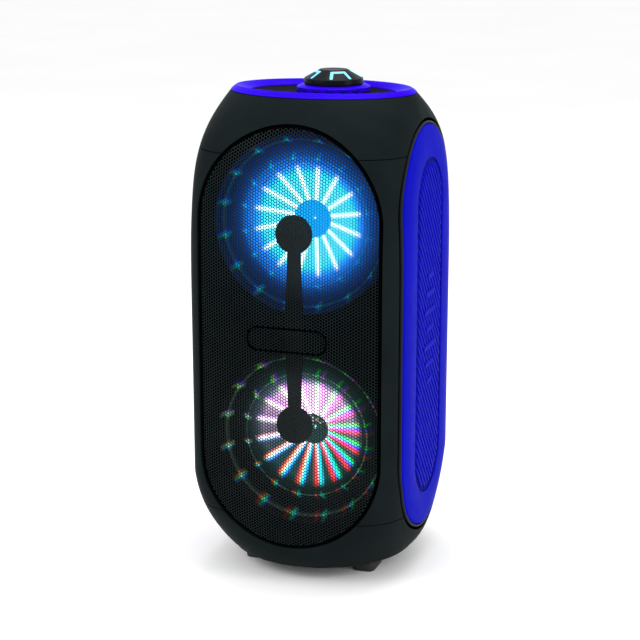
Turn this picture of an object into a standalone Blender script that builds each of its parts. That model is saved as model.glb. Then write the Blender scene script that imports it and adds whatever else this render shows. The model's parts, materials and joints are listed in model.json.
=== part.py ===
"""Portable party speaker with two woofers behind one tall grille, blue side panels and a big top knob.

Metres, +Z up. The front faces -Y. The origin is on the floor, under the centre of the cabinet.
"""

from math import asin, cos, degrees, pi, radians, sin

import bmesh
import bpy
from mathutils import Vector

# Cabinet: every level is a superellipse whose size and squareness change with height.
HALF_WIDTH = 0.153
HALF_DEPTH = 0.1535
SQUARENESS = 5.77
SHOULDER_Z = 0.395
TOP_EDGE_Z = 0.653
TOP_EDGE_X = 0.1276
TOP_EDGE_Y = 0.096
HAUNCH_Z = 0.145
BASE_EDGE_Z = 0.025
BASE_EDGE_X = 0.131
BASE_EDGE_Y = 0.130
UNDERSIDE_Z = 0.018
SEAM_LOW_Z = 0.0966
SEAM_HIGH_Z = 0.5843
WALL = 0.006
SEAM = 0.0004
LIP = 0.004
LIP_INSET = 0.003
FIT = 0.0003

# Front: a stadium-shaped opening with the grille just inside it.
FRONT_Z = 0.3395
FRONT_STRAIGHT = 0.158
OPENING_R = 0.127
GRILLE_R = 0.1246
GRILLE_INSET = 0.003
GRILLE_THICK = 0.0012
TRAY_R = 0.1264
TRAY_WALL = 0.003
TRAY_INSET = 0.0062
BAFFLE_Y = -0.062
BAFFLE_THICK = 0.006
WOOFER_SPACING = 0.1475
WOOFER_HOLE_R = 0.094
BRACE_Y = -0.119
BRACE_THICK = 0.003
BRACE_Z = 0.350
BRACE_REACH = 0.130
BRACE_DISC_R = 0.0255
BRACE_NECK = 0.009
BRACE_WAIST = 0.013
PILLAR_WIDTH = 0.020
PILLAR_HEIGHT = 0.040
BADGE_Z = 0.3445
BADGE_WIDTH = 0.112
BADGE_HEIGHT = 0.034
BADGE_RIM = 0.003
BADGE_RAISE = 0.0015

# Sides: a stadium recess with a trim ring, a blue panel and a ribbed insert in it.
SIDE_Z = 0.338
SIDE_STRAIGHT = 0.162
RECESS_R = 0.1222
RECESS_INSET = 0.0040
PANEL_R = 0.1145
PANEL_BEND_R = 0.0925
PANEL_BEND_STRAIGHT = 0.166
INSERT_R = 0.061
INSERT_STRAIGHT = 0.171
INSERT_BEND_R = 0.028

# Top: ring, deck and knob.
RING_CREST_Z = 0.6594
RING_CREST_X = 0.1205
RING_CREST_Y = 0.0805
DECK_Z = 0.652
DECK_X = 0.0998
DECK_Y = 0.0678
KNOB_X = 0.0088
KNOB_Y = 0.017
KNOB_BASE_R = 0.0494
KNOB_BASE_TOP_Z = 0.6604
KNOB_BASE_BEVEL = 0.0060
KNOB_R = 0.0398
KNOB_BOTTOM_Z = 0.661
KNOB_CROWN_R = 0.0205
KNOB_TOP_Z = 0.680
KEY_COUNT = 6
KEY_STEP = radians(22)
KEY_WIDTH = 0.015
KEY_HEIGHT = 0.0032
KEY_FACE_R = 0.0496
KEY_Z = 0.6552

# Rear: socket plate and bass port.
PLATE_WIDTH = 0.12
PLATE_HEIGHT = 0.15
PLATE_Z = 0.385
PLATE_Y = 0.1516
PORT_Z = 0.205
PORT_R = 0.033

# Feet.
FOOT_X = 0.0787
FOOT_Y = 0.041
FOOT_WIDTH = 0.031
FOOT_LENGTH = 0.050

COLUMNS = 40
TURNS = 16
FRONT = (radians(90), 0, 0)
REAR = (radians(-90), 0, 0)


for old in list(bpy.data.objects):
    bpy.data.objects.remove(old, do_unlink=True)


def material(name, colour, roughness, metallic=0.0):
    made = bpy.data.materials.new(name)
    made.use_nodes = True
    shader = made.node_tree.nodes["Principled BSDF"]
    shader.inputs["Base Color"].default_value = (*colour, 1)
    shader.inputs["Roughness"].default_value = roughness
    shader.inputs["Metallic"].default_value = metallic
    return made


SHELL_BLACK = material("shell_black", (0.020, 0.022, 0.023), 0.45)
TRIM_BLACK = material("trim_black", (0.008, 0.008, 0.009), 0.5)
GRILLE_BLACK = material("grille_black", (0.012, 0.012, 0.013), 0.4, 0.6)
BLUE = material("blue", (0.012, 0.010, 0.52), 0.35)
RING_BLUE = material("ring_blue", (0.040, 0.004, 0.80), 0.25)
RUBBER = material("rubber", (0.012, 0.012, 0.012), 0.8)
CONE_GREY = material("cone_grey", (0.10, 0.11, 0.12), 0.5)
STEEL = material("steel", (0.25, 0.25, 0.26), 0.4, 0.9)
FERRITE = material("ferrite", (0.04, 0.04, 0.045), 0.7)
LIGHT = material("light", (0.20, 0.80, 1.0), 0.3)
BOARD_GREEN = material("board_green", (0.01, 0.12, 0.05), 0.5)
BATTERY_BLUE = material("battery_blue", (0.03, 0.08, 0.25), 0.5)


def blend(z, start, end):
    """0 at start, 1 at end, and held at those values outside."""
    return min(max((z - start) / (end - start), 0.0), 1.0)


def section(z):
    """Half width, half depth and squareness of the cabinet at a height."""
    up = blend(z, SHOULDER_Z, TOP_EDGE_Z)
    down = blend(z, HAUNCH_Z, BASE_EDGE_Z)
    half_x = HALF_WIDTH - (HALF_WIDTH - TOP_EDGE_X) * up**6.93 - (HALF_WIDTH - BASE_EDGE_X) * down**5.67
    half_y = HALF_DEPTH - (HALF_DEPTH - TOP_EDGE_Y) * up**6.76 - (HALF_DEPTH - BASE_EDGE_Y) * down**6.0
    return half_x, half_y, 2 + (SQUARENESS - 2) * (1 - up**2.5) ** 1.32 * (1 - down**1.3) ** 2.2


def level(z, inset=0.0):
    """A ring of the cabinet at a height, moved inwards by inset."""
    half_x, half_y, power = section(z)
    return z, half_x - inset, half_y - inset, power


def front_y(x, z, inset):
    half_x, half_y, power = section(z)
    return -(half_y - inset) * (1 - (abs(x) / (half_x - inset)) ** power) ** (1 / power)


def side_x(y, z, inset):
    half_x, half_y, power = section(z)
    return (half_x - inset) * (1 - (abs(y) / (half_y - inset)) ** power) ** (1 / power)


def add_object(name, mesh, finish, location=(0, 0, 0), rotation=(0, 0, 0)):
    body = bmesh.new()
    body.from_mesh(mesh)
    bmesh.ops.recalc_face_normals(body, faces=body.faces)
    body.to_mesh(mesh)
    body.free()
    mesh.materials.append(finish)
    mesh.shade_smooth()
    mesh.set_sharp_from_angle(angle=radians(35))
    made = bpy.data.objects.new(name, mesh)
    made.location = location
    made.rotation_euler = rotation
    bpy.context.scene.collection.objects.link(made)
    return made


def skin(name, rings, closed):
    """A mesh through rings of equal length: a closed tube, or a solid whose two ends are filled."""
    count = len(rings[0])
    points = [point for ring in rings for point in ring]
    pairs = len(rings) if closed else len(rings) - 1
    faces = []
    for row in range(pairs):
        here = row * count
        there = (row + 1) % len(rings) * count
        for column in range(count):
            after = (column + 1) % count
            faces.append((here + column, here + after, there + after, there + column))
    if not closed:
        faces.append(tuple(range(count)))
        faces.append(tuple(range(len(points) - count, len(points))))
    mesh = bpy.data.meshes.new(name)
    mesh.from_pydata(points, [], faces)
    return mesh


def superellipse(z, half_x, half_y, power, columns, corners=0.5):
    """Points of one ring, closer together at the corners."""
    ring = []
    for step in range(columns):
        turn = 2 * pi * step / columns
        turn += corners / 4 * sin(4 * turn)
        reach = (abs(cos(turn)) / half_x) ** power + (abs(sin(turn)) / half_y) ** power
        reach = reach ** (-1 / power)
        ring.append((reach * cos(turn), reach * sin(turn), z))
    return ring


def loft(name, levels, finish, closed=True, location=(0, 0, 0)):
    """A body through (z, half x, half y, squareness) levels."""
    rings = [superellipse(*values, COLUMNS) for values in levels]
    return add_object(name, skin(name, rings, closed), finish, location)


def turned(name, profile, finish, closed, location, rotation=(0, 0, 0), turns=TURNS):
    """A body turned round its own Z from (radius, height) points."""
    rings = [superellipse(height, radius, radius, 2, turns, 0) for radius, height in profile]
    return add_object(name, skin(name, rings, closed), finish, location, rotation)


def arc(centre_x, centre_y, radius, start, end, steps):
    """Points along an arc, angles in degrees."""
    points = []
    for step in range(steps + 1):
        turn = radians(start + (end - start) * step / steps)
        points.append((centre_x + radius * cos(turn), centre_y + radius * sin(turn)))
    return points


def stadium(radius, straight, arc_steps=10, side_steps=3):
    """A stadium outline that stands upright, anticlockwise from its lower right corner."""
    points = []
    for sign in (1, -1):
        for step in range(side_steps):
            points.append((sign * radius, sign * straight * (2 * step / side_steps - 1)))
        points += arc(0, sign * straight, radius, 90 - 90 * sign, 270 - 90 * sign, arc_steps)[:-1]
    return points


def rounded_rectangle(width, height, radius, steps=4):
    x = width / 2 - radius
    y = height / 2 - radius
    return (
        arc(x, -y, radius, -90, 0, steps)
        + arc(x, y, radius, 0, 90, steps)
        + arc(-x, y, radius, 90, 180, steps)
        + arc(-x, -y, radius, 180, 270, steps)
    )


def prism(name, outline, low, high, finish, location=(0, 0, 0), rotation=(0, 0, 0)):
    """An outline in its own XY plane, extruded from low to high along its Z."""
    rings = [[(x, y, height) for x, y in outline] for height in (low, high)]
    return add_object(name, skin(name, rings, False), finish, location, rotation)


def frame_prism(name, outer, inner, low, high, finish, location, rotation):
    """Like prism, with the inner outline left open."""
    outlines = ((outer, low), (outer, high), (inner, high), (inner, low))
    rings = [[(x, y, height) for x, y in outline] for outline, height in outlines]
    return add_object(name, skin(name, rings, True), finish, location, rotation)


def shaped_rings(place, stadiums, centre_z, inset):
    """Rings laid on the cabinet's surface, one for each (radius, straight), from the outside in."""
    rings = []
    for radius, straight in stadiums:
        outline = stadium(radius, straight)
        rings.append([place(across, centre_z + up, inset) for across, up in outline])
    return rings


def shaped_plate(name, place, stadiums, centre_z, insets, finish, is_ring=False):
    """A plate that follows the cabinet's surface between two insets, solid or a ring."""
    outside = shaped_rings(place, stadiums, centre_z, insets[0])
    inside = shaped_rings(place, stadiums, centre_z, insets[1])
    return add_object(name, skin(name, outside[::-1] + inside, is_ring), finish)


def on_front(x, z, inset):
    return x, front_y(x, z, inset), z


def on_right(y, z, inset):
    return side_x(y, z, inset), y, z


def on_left(y, z, inset):
    return -side_x(y, z, inset), y, z


def cut(target, cutter):
    """Takes the cutter's shape out of the target."""
    cutter.hide_render = True
    cutter.display_type = "WIRE"
    boolean = target.modifiers.new("cut_" + cutter.name, "BOOLEAN")
    boolean.operation = "DIFFERENCE"
    boolean.object = cutter


def attach(child, parent):
    """Parents the child and keeps it where it is."""
    bpy.context.view_layer.update()
    child.parent = parent
    child.matrix_parent_inverse = parent.matrix_world.inverted()


def cabinet_shells():
    """Three shells that meet in two seams, each lipped into the next."""
    rise = [SEAM_HIGH_Z - SEAM, 0.560, 0.530, 0.490, 0.445, SHOULDER_Z]
    fall = [HAUNCH_Z, 0.128, 0.113, SEAM_LOW_Z + SEAM]
    walls = rise + fall
    middle = [level(z) for z in walls[::-1]]
    middle += [level(SEAM_HIGH_Z - SEAM, LIP_INSET), level(SEAM_HIGH_Z + LIP, LIP_INSET)]
    middle += [level(z, WALL) for z in (SEAM_HIGH_Z + LIP, SHOULDER_Z, HAUNCH_Z)]
    middle += [level(SEAM_LOW_Z - LIP, WALL), level(SEAM_LOW_Z - LIP, LIP_INSET)]
    middle += [level(SEAM_LOW_Z + SEAM, LIP_INSET)]
    mid_shell = loft("mid_shell", middle, SHELL_BLACK)

    dome = [0.603, 0.618, 0.631, 0.643]
    rebate = LIP_INSET - FIT
    top = [level(SEAM_HIGH_Z + SEAM)] + [level(z) for z in dome] + [level(TOP_EDGE_Z)]
    top += [level(TOP_EDGE_Z, 0.016), level(0.649, 0.016)]
    top += [level(z, WALL) for z in (0.6485, 0.630)]
    top += [level(SEAM_HIGH_Z + LIP + SEAM, WALL), level(SEAM_HIGH_Z + LIP + SEAM, rebate)]
    top += [level(SEAM_HIGH_Z + SEAM, rebate)]
    top_shell = loft("top_shell", top, SHELL_BLACK)

    bowl = [BASE_EDGE_Z, 0.033, 0.044, 0.058, 0.076]
    bottom = [(UNDERSIDE_Z, 0.118, 0.117, 2), (0.0200, 0.1265, 0.1255, 2)]
    bottom += [level(z) for z in bowl] + [level(SEAM_LOW_Z - SEAM)]
    bottom += [level(SEAM_LOW_Z - SEAM, rebate), level(SEAM_LOW_Z - LIP - SEAM, rebate)]
    bottom += [level(z, WALL) for z in (SEAM_LOW_Z - LIP - SEAM, 0.050)]
    bottom += [(UNDERSIDE_Z + WALL, 0.116, 0.115, 2)]
    bottom_shell = loft("bottom_shell", bottom, SHELL_BLACK, closed=False)

    opening = prism(
        "front_opening", stadium(OPENING_R, FRONT_STRAIGHT), 0.100, 0.200, TRIM_BLACK, (0, 0, FRONT_Z), FRONT
    )
    stadiums = [(radius, SIDE_STRAIGHT) for radius in (RECESS_R, PANEL_R)]
    stadiums += [(PANEL_BEND_R, PANEL_BEND_STRAIGHT)]
    stadiums += [(radius, INSERT_STRAIGHT) for radius in (INSERT_R, INSERT_BEND_R)]
    recesses = [
        shaped_plate("recess_" + side, place, stadiums, SIDE_Z, (-0.006, RECESS_INSET), TRIM_BLACK)
        for side, place in (("right", on_right), ("left", on_left))
    ]
    for shell in (mid_shell, top_shell, bottom_shell):
        for cutter in (opening, *recesses):
            cut(shell, cutter)

    plate_outline = rounded_rectangle(PLATE_WIDTH, PLATE_HEIGHT, 0.008)
    plate_hole = prism("plate_hole", plate_outline, 0.130, 0.180, TRIM_BLACK, (0, 0, PLATE_Z), REAR)
    port_profile = [(PORT_R + 0.0005, 0.130), (PORT_R + 0.0005, 0.180)]
    port_hole = turned("port_hole", port_profile, TRIM_BLACK, False, (0, 0, PORT_Z), REAR)
    cut(mid_shell, plate_hole)
    cut(mid_shell, port_hole)


def feet():
    for name, x, y in (
        ("foot_front_left", -FOOT_X, -FOOT_Y),
        ("foot_front_right", FOOT_X, -FOOT_Y),
        ("foot_rear_left", -FOOT_X, FOOT_Y),
        ("foot_rear_right", FOOT_X, FOOT_Y),
    ):
        outlines = [
            (rounded_rectangle(FOOT_WIDTH - 0.003, FOOT_LENGTH - 0.003, 0.008), 0.0),
            (rounded_rectangle(FOOT_WIDTH, FOOT_LENGTH, 0.009), 0.002),
            (rounded_rectangle(FOOT_WIDTH, FOOT_LENGTH, 0.009), UNDERSIDE_Z - FIT),
        ]
        rings = [[(u, v, height) for u, v in outline] for outline, height in outlines]
        add_object(name, skin(name, rings, False), RUBBER, (x, y, 0))


def front_parts():
    """Baffle tray, grille with its badge frame, and the brace on its pillar behind the grille."""
    inner_r = TRAY_R - TRAY_WALL
    rim_stadiums = [(radius, FRONT_STRAIGHT) for radius in (TRAY_R, inner_r)]
    rim = shaped_rings(on_front, rim_stadiums, FRONT_Z, TRAY_INSET)
    back_y = BAFFLE_Y + BAFFLE_THICK
    floor = [(x, BAFFLE_Y, FRONT_Z + z) for x, z in stadium(inner_r, FRONT_STRAIGHT)]
    back = [(x, back_y, FRONT_Z + z) for x, z in stadium(TRAY_R, FRONT_STRAIGHT)]
    tray = add_object("front_baffle", skin("front_baffle", [back, *rim, floor], False), TRIM_BLACK)
    for name, side in (("upper", 1), ("lower", -1)):
        centre = (0, 0, FRONT_Z + side * WOOFER_SPACING)
        profile = [(WOOFER_HOLE_R, 0.040), (WOOFER_HOLE_R, 0.090)]
        cut(tray, turned(name + "_woofer_hole", profile, TRIM_BLACK, False, centre, FRONT))

    stadiums = [(radius, FRONT_STRAIGHT) for radius in (GRILLE_R, 0.108, 0.084, 0.040)]
    insets = (GRILLE_INSET, GRILLE_INSET + GRILLE_THICK)
    shaped_plate("front_grille", on_front, stadiums, FRONT_Z, insets, GRILLE_BLACK)

    neck = degrees(asin(BRACE_NECK / BRACE_DISC_R))
    upper = arc(0, BRACE_REACH, BRACE_DISC_R, neck - 90, 270 - neck, 18)
    lower = arc(0, -BRACE_REACH, BRACE_DISC_R, neck + 90, 450 - neck, 18)
    outline = [*upper, (-BRACE_WAIST, 0), *lower, (BRACE_WAIST, 0)]
    front_of_brace = BRACE_THICK - BRACE_Y
    prism("grille_brace", outline, -BRACE_Y, front_of_brace, TRIM_BLACK, (0, 0, BRACE_Z), FRONT)
    pillar = rounded_rectangle(PILLAR_WIDTH, PILLAR_HEIGHT, 0.005)
    ends = (FIT - BAFFLE_Y, -FIT - BRACE_Y)
    prism("brace_pillar", pillar, *ends, TRIM_BLACK, (0, 0, FRONT_Z), FRONT)

    face = -front_y(BADGE_WIDTH / 2, BADGE_Z, GRILLE_INSET) + 0.0010
    outer = rounded_rectangle(BADGE_WIDTH, BADGE_HEIGHT, 0.015)
    inner = rounded_rectangle(BADGE_WIDTH - 2 * BADGE_RIM, BADGE_HEIGHT - 2 * BADGE_RIM, 0.012)
    depths = (face, face + BADGE_RAISE)
    frame_prism("badge_frame", outer, inner, *depths, GRILLE_BLACK, (0, 0, BADGE_Z), FRONT)


def side_parts(side, place):
    """Trim ring, blue panel and insert of one side."""
    thick = RECESS_INSET - 2 * FIT
    trim = ((RECESS_R - FIT, SIDE_STRAIGHT), (PANEL_R + FIT, SIDE_STRAIGHT))
    shaped_plate(side + "_trim_ring", place, trim, SIDE_Z, (0.0006, thick), TRIM_BLACK, is_ring=True)
    panel = ((PANEL_R, SIDE_STRAIGHT), (PANEL_BEND_R, PANEL_BEND_STRAIGHT), (INSERT_R + FIT, INSERT_STRAIGHT))
    shaped_plate(side + "_side_panel", place, panel, SIDE_Z, (0.0004, thick), BLUE, is_ring=True)
    insert = ((INSERT_R, INSERT_STRAIGHT), (INSERT_BEND_R, INSERT_STRAIGHT))
    shaped_plate(side + "_ribbed_insert", place, insert, SIDE_Z, (0.0014, thick), BLUE)


def woofer(name, centre_z):
    """One eight-inch driver. Heights run forward from the baffle's front face."""
    origin = (0, BAFFLE_Y, centre_z)

    basket = [(0.103, 0.0033), (0.103, 0.0003), (0.0925, 0.0003), (0.089, -0.010), (0.058, -0.052)]
    basket += [(0.052, -0.062), (0.023, -0.062), (0.023, -0.060), (0.0505, -0.060), (0.0562, -0.051)]
    basket += [(0.0868, -0.010), (0.088, 0.0003), (0.088, 0.0033)]
    frame = turned(name + "_woofer_basket", basket, STEEL, True, origin, FRONT)
    for step in range(4):
        turn = radians(45 + 90 * step)
        window = prism(
            f"{name}_window_{step}",
            rounded_rectangle(0.070, 0.034, 0.006, 2),
            0.040,
            0.110,
            STEEL,
            (0, BAFFLE_Y + 0.032, centre_z),
            (0, -turn, 0),
        )
        cut(frame, window)

    roll = 0.0072
    outside = [(0.085 + roll * cos(radians(a)), 0.0045 + roll * sin(radians(a))) for a in (0, 60, 120, 180)]
    thin = roll - 0.0013
    inside = [(0.085 + thin * cos(radians(a)), 0.0045 + thin * sin(radians(a))) for a in (180, 120, 60, 0)]
    surround = [(0.097, 0.0036), (0.097, 0.0050), *outside, *inside]
    turned(name + "_woofer_surround", surround, RUBBER, True, origin, FRONT)

    cone_profile = [(0.0773, 0.0042), (0.060, -0.0115), (0.040, -0.0280), (0.0208, -0.0430)]
    cone_profile += [(0.0208, -0.0448), (0.040, -0.0298), (0.060, -0.0133), (0.0773, 0.0024)]
    cone = turned(name + "_woofer_cone", cone_profile, CONE_GREY, True, origin, FRONT)

    dome = [(0.0268, -0.0368), (0.0240, -0.0345), (0.0160, -0.0305), (0.0040, -0.0285)]
    dome += [(0.0040, -0.0270), (0.0170, -0.0290), (0.0255, -0.0332), (0.0285, -0.0368)]
    cap = turned(name + "_dust_cap", dome, CONE_GREY, True, origin, FRONT)

    coil_profile = [(0.0204, -0.0440), (0.0204, -0.0780), (0.0192, -0.0780), (0.0192, -0.0440)]
    coil = turned(name + "_voice_coil", coil_profile, STEEL, True, origin, FRONT, 24)
    attach(cap, cone)
    attach(coil, cone)

    magnet = [(0.0180, -0.066), (0.0180, -0.084), (0.0222, -0.084), (0.0222, -0.0623)]
    magnet += [(0.050, -0.0623), (0.050, -0.090)]
    turned(name + "_magnet", magnet, FERRITE, False, origin, FRONT)

    guide = [(0.1045, 0.0003), (0.1055, 0.010), (0.1095, 0.010), (0.1110, 0.022), (0.1165, 0.022)]
    guide += [(0.1180, 0.034), (0.1205, 0.034), (0.1205, 0.0003)]
    turned(name + "_waveguide", guide, TRIM_BLACK, True, origin, FRONT)
    lamp = [(0.1118, 0.0223), (0.1158, 0.0223), (0.1158, 0.0238), (0.1118, 0.0238)]
    turned(name + "_led_ring", lamp, LIGHT, True, origin, FRONT)


def top_parts():
    """Ring, deck, knob base with its push keys, and the knob on its encoder."""
    ring = [
        (TOP_EDGE_Z + FIT, TOP_EDGE_X - 0.0002, TOP_EDGE_Y - 0.0002, 2),
        (0.6565, 0.1250, 0.0890, 2),
        (RING_CREST_Z - 0.0003, RING_CREST_X + 0.0006, RING_CREST_Y + 0.0008, 2),
        (RING_CREST_Z, RING_CREST_X - 0.0008, RING_CREST_Y - 0.0008, 2),
        (0.6565, 0.1105, 0.0735, 2),
        (0.6525, DECK_X + 0.0004, DECK_Y + 0.0004, 2),
        (0.6505, DECK_X + 0.0004, DECK_Y + 0.0004, 2),
        (0.6505, TOP_EDGE_X - 0.0166, TOP_EDGE_Y - 0.0166, 2),
        (TOP_EDGE_Z + FIT, TOP_EDGE_X - 0.0166, TOP_EDGE_Y - 0.0166, 2),
    ]
    loft("top_ring", ring, RING_BLUE)
    deck_levels = [(0.648, DECK_X, DECK_Y, 2), (DECK_Z, DECK_X, DECK_Y, 2)]
    deck = loft("control_deck", deck_levels, TRIM_BLACK, closed=False)
    axis = (KNOB_X, KNOB_Y, 0)
    shaft_hole = turned("shaft_hole", [(0.0045, 0.640), (0.0045, 0.660)], TRIM_BLACK, False, axis, turns=16)
    cut(deck, shaft_hole)

    side_top = KNOB_BASE_TOP_Z - 0.0028
    base_profile = [(KNOB_BASE_R, DECK_Z + FIT), (KNOB_BASE_R, side_top)]
    base_profile += [(KNOB_BASE_R - KNOB_BASE_BEVEL, KNOB_BASE_TOP_Z)]
    base_profile += [(0.006, KNOB_BASE_TOP_Z), (0.006, DECK_Z + FIT)]
    base = turned("knob_base", base_profile, RING_BLUE, True, axis, turns=32)
    gap = 0.0005
    for number in range(KEY_COUNT):
        turn = (number - (KEY_COUNT - 1) / 2) * KEY_STEP
        place = (KNOB_X, KNOB_Y, KEY_Z)
        facing = (radians(90), 0, turn)
        shape = rounded_rectangle(KEY_WIDTH + 2 * gap, KEY_HEIGHT + 2 * gap, 0.0010, 2)
        cut(base, prism(f"key_pocket_{number + 1}", shape, 0.0425, 0.0600, RING_BLUE, place, facing))
        shape = rounded_rectangle(KEY_WIDTH, KEY_HEIGHT, 0.0008, 2)
        prism(f"push_key_{number + 1}", shape, 0.0443, KEY_FACE_R, BLUE, place, facing)

    rim_r = KNOB_R - 0.0010
    rim_z = KNOB_BOTTOM_Z + 0.0080
    crown_z = KNOB_TOP_Z - 0.0010
    slope = Vector((KNOB_CROWN_R - rim_r, crown_z - rim_z)).normalized()
    inward = Vector((-slope.y, slope.x))

    def flank(share, depth=0.0):
        """A point of the cone's flank, share of the way up it and sunk by depth."""
        point = Vector((rim_r, rim_z)).lerp(Vector((KNOB_CROWN_R, crown_z)), share) + inward * depth
        return point.x, point.y

    low, high, sunk = 0.20, 0.82, 0.0016
    knob_profile = [(0.0032, 0.6710), (0.0032, KNOB_BOTTOM_Z), (KNOB_R, KNOB_BOTTOM_Z)]
    knob_profile += [(KNOB_R, KNOB_BOTTOM_Z + 0.0070), (rim_r, rim_z)]
    knob_profile += [flank(low), flank(low, sunk), flank(high, sunk), flank(high)]
    cap_r = KNOB_CROWN_R - 0.0008
    knob_profile += [(KNOB_CROWN_R, crown_z), (cap_r, crown_z), (cap_r, crown_z - 0.0012)]
    knob = turned("knob", knob_profile, TRIM_BLACK, False, axis, turns=32)
    margin = 0.016
    glow_profile = [flank(low + margin, 0.0002), flank(low + margin, sunk - FIT)]
    glow_profile += [flank(high - margin, sunk - FIT), flank(high - margin, 0.0002)]
    glow = turned("knob_light_guide", glow_profile, LIGHT, True, axis, turns=32)
    cap_r -= FIT
    cap_profile = [(cap_r, crown_z - 0.0009), (cap_r, KNOB_TOP_Z - 0.0004), (cap_r - 0.0006, KNOB_TOP_Z)]
    cap = turned("knob_cap", cap_profile, TRIM_BLACK, False, axis, turns=32)
    attach(glow, knob)
    attach(cap, knob)
    encoder = [(0.008, 0.636), (0.008, 0.6476), (0.0029, 0.6476), (0.0029, 0.6706)]
    turned("knob_encoder", encoder, STEEL, False, axis, turns=16)


def rear_parts():
    """Socket plate with its sockets and switch, bass port, amplifier and battery."""
    outline = rounded_rectangle(PLATE_WIDTH - 0.0008, PLATE_HEIGHT - 0.0008, 0.0078)
    plate = prism("rear_plate", outline, PLATE_Y - 0.0038, PLATE_Y, TRIM_BLACK, (0, 0, PLATE_Z), REAR)
    # The plate's own X points the same way as the world's, and its own Y points down.
    for name, x, z, bore in (
        ("dc_inlet", 0.035, 0.430, 0.0030),
        ("aux_jack", 0.035, 0.385, 0.0018),
        ("mic_jack_1", -0.022, 0.340, 0.0034),
        ("mic_jack_2", 0.022, 0.340, 0.0034),
    ):
        hole = turned(name + "_hole", [(0.0065, 0.140), (0.0065, 0.160)], TRIM_BLACK, False, (x, 0, z), REAR, 16)
        cut(plate, hole)
        socket = [(bore, -0.0110), (bore, 0.0016), (0.0085, 0.0016), (0.0085, FIT)]
        socket += [(0.0062, FIT), (0.0062, -0.0140)]
        turned(name, socket, TRIM_BLACK, False, (x, PLATE_Y, z), REAR, 16)

    usb = (-0.035, PLATE_Y, 0.385)
    slot = rounded_rectangle(0.0150, 0.0080, 0.0010, 2)
    cut(plate, prism("usb_hole", slot, -0.010, 0.010, TRIM_BLACK, usb, REAR))
    body = rounded_rectangle(0.0144, 0.0074, 0.0008, 2)
    mouth = rounded_rectangle(0.0124, 0.0050, 0.0004, 2)
    levels = [(mouth, -0.010), (mouth, 0.0010), (body, 0.0010), (body, -0.013)]
    rings = [[(u, v, height) for u, v in shape] for shape, height in levels]
    add_object("usb_socket", skin("usb_socket", rings, False), STEEL, usb, REAR)

    rocker = (-0.035, PLATE_Y - 0.0020, 0.430)
    well = rounded_rectangle(0.0240, 0.0170, 0.0015, 2)
    cut(plate, prism("rocker_hole", well, -0.010, 0.010, TRIM_BLACK, rocker, REAR))
    side = [(-0.0065, 0.0018), (0, 0.0004), (0.0065, 0.0018), (0.0060, -0.0050), (-0.0060, -0.0050)]
    prism("power_rocker", side, -0.0110, 0.0110, TRIM_BLACK, rocker, (0, radians(-90), 0))

    port = [(0.0290, 0.1530), (PORT_R, 0.1530), (PORT_R, 0.1470), (0.0270, 0.1400), (0.0240, 0.1240)]
    port += [(0.0240, 0.0650), (0.0215, 0.0650), (0.0215, 0.1250), (0.0235, 0.1400), (0.0260, 0.1480)]
    turned("bass_port", port, TRIM_BLACK, True, (0, 0, PORT_Z), REAR)

    fins = [(-0.050, 0), (-0.050, 0.006)]
    for number in range(6):
        left = -0.046 + number * 0.0165
        fins += [(left, 0.006), (left, 0.020), (left + 0.003, 0.020), (left + 0.003, 0.006)]
    fins += [(0.050, 0.006), (0.050, 0)]
    prism("amplifier_board", fins, 0.300, 0.420, BOARD_GREEN, (0, 0.128, 0), (0, 0, pi))
    battery = rounded_rectangle(0.140, 0.070, 0.006)
    prism("battery_pack", battery, UNDERSIDE_Z + WALL + FIT, 0.086, BATTERY_BLUE, (0, 0.035, 0))


cabinet_shells()
feet()
front_parts()
side_parts("right", on_right)
side_parts("left", on_left)
for woofer_name, woofer_side in (("upper", 1), ("lower", -1)):
    woofer(woofer_name, FRONT_Z + woofer_side * WOOFER_SPACING)
top_parts()
rear_parts()
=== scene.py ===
"""Looks of the party speaker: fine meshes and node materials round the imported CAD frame.

Metres, +Z up, the front faces -Y, the same frame as the CAD.
"""

import json
from collections import namedtuple
from math import asin, cos, degrees, hypot, pi, radians, sin, sqrt

import bmesh
import bpy
import numpy as np
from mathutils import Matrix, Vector


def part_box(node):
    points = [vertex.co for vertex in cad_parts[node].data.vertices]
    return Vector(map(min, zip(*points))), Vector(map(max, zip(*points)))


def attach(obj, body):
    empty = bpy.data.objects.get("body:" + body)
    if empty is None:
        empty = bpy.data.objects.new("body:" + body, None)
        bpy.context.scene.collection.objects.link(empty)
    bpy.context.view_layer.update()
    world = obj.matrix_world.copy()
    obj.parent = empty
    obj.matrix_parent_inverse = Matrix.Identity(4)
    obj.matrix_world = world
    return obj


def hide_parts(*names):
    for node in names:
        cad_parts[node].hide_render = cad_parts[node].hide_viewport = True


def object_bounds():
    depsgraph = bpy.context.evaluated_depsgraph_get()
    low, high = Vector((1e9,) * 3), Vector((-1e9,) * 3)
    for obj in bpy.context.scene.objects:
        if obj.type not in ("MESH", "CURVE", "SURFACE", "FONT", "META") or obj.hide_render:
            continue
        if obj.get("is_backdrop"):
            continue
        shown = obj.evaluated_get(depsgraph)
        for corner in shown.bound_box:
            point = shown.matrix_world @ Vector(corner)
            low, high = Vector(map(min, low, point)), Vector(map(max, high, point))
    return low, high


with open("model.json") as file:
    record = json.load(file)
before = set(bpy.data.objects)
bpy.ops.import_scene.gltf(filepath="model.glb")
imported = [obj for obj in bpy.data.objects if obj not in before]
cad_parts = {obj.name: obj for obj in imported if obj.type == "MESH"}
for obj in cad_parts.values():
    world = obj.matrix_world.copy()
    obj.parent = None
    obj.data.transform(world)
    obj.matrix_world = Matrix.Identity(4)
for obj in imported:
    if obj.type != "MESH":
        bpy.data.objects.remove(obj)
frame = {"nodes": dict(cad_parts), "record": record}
cad_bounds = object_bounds()

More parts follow.
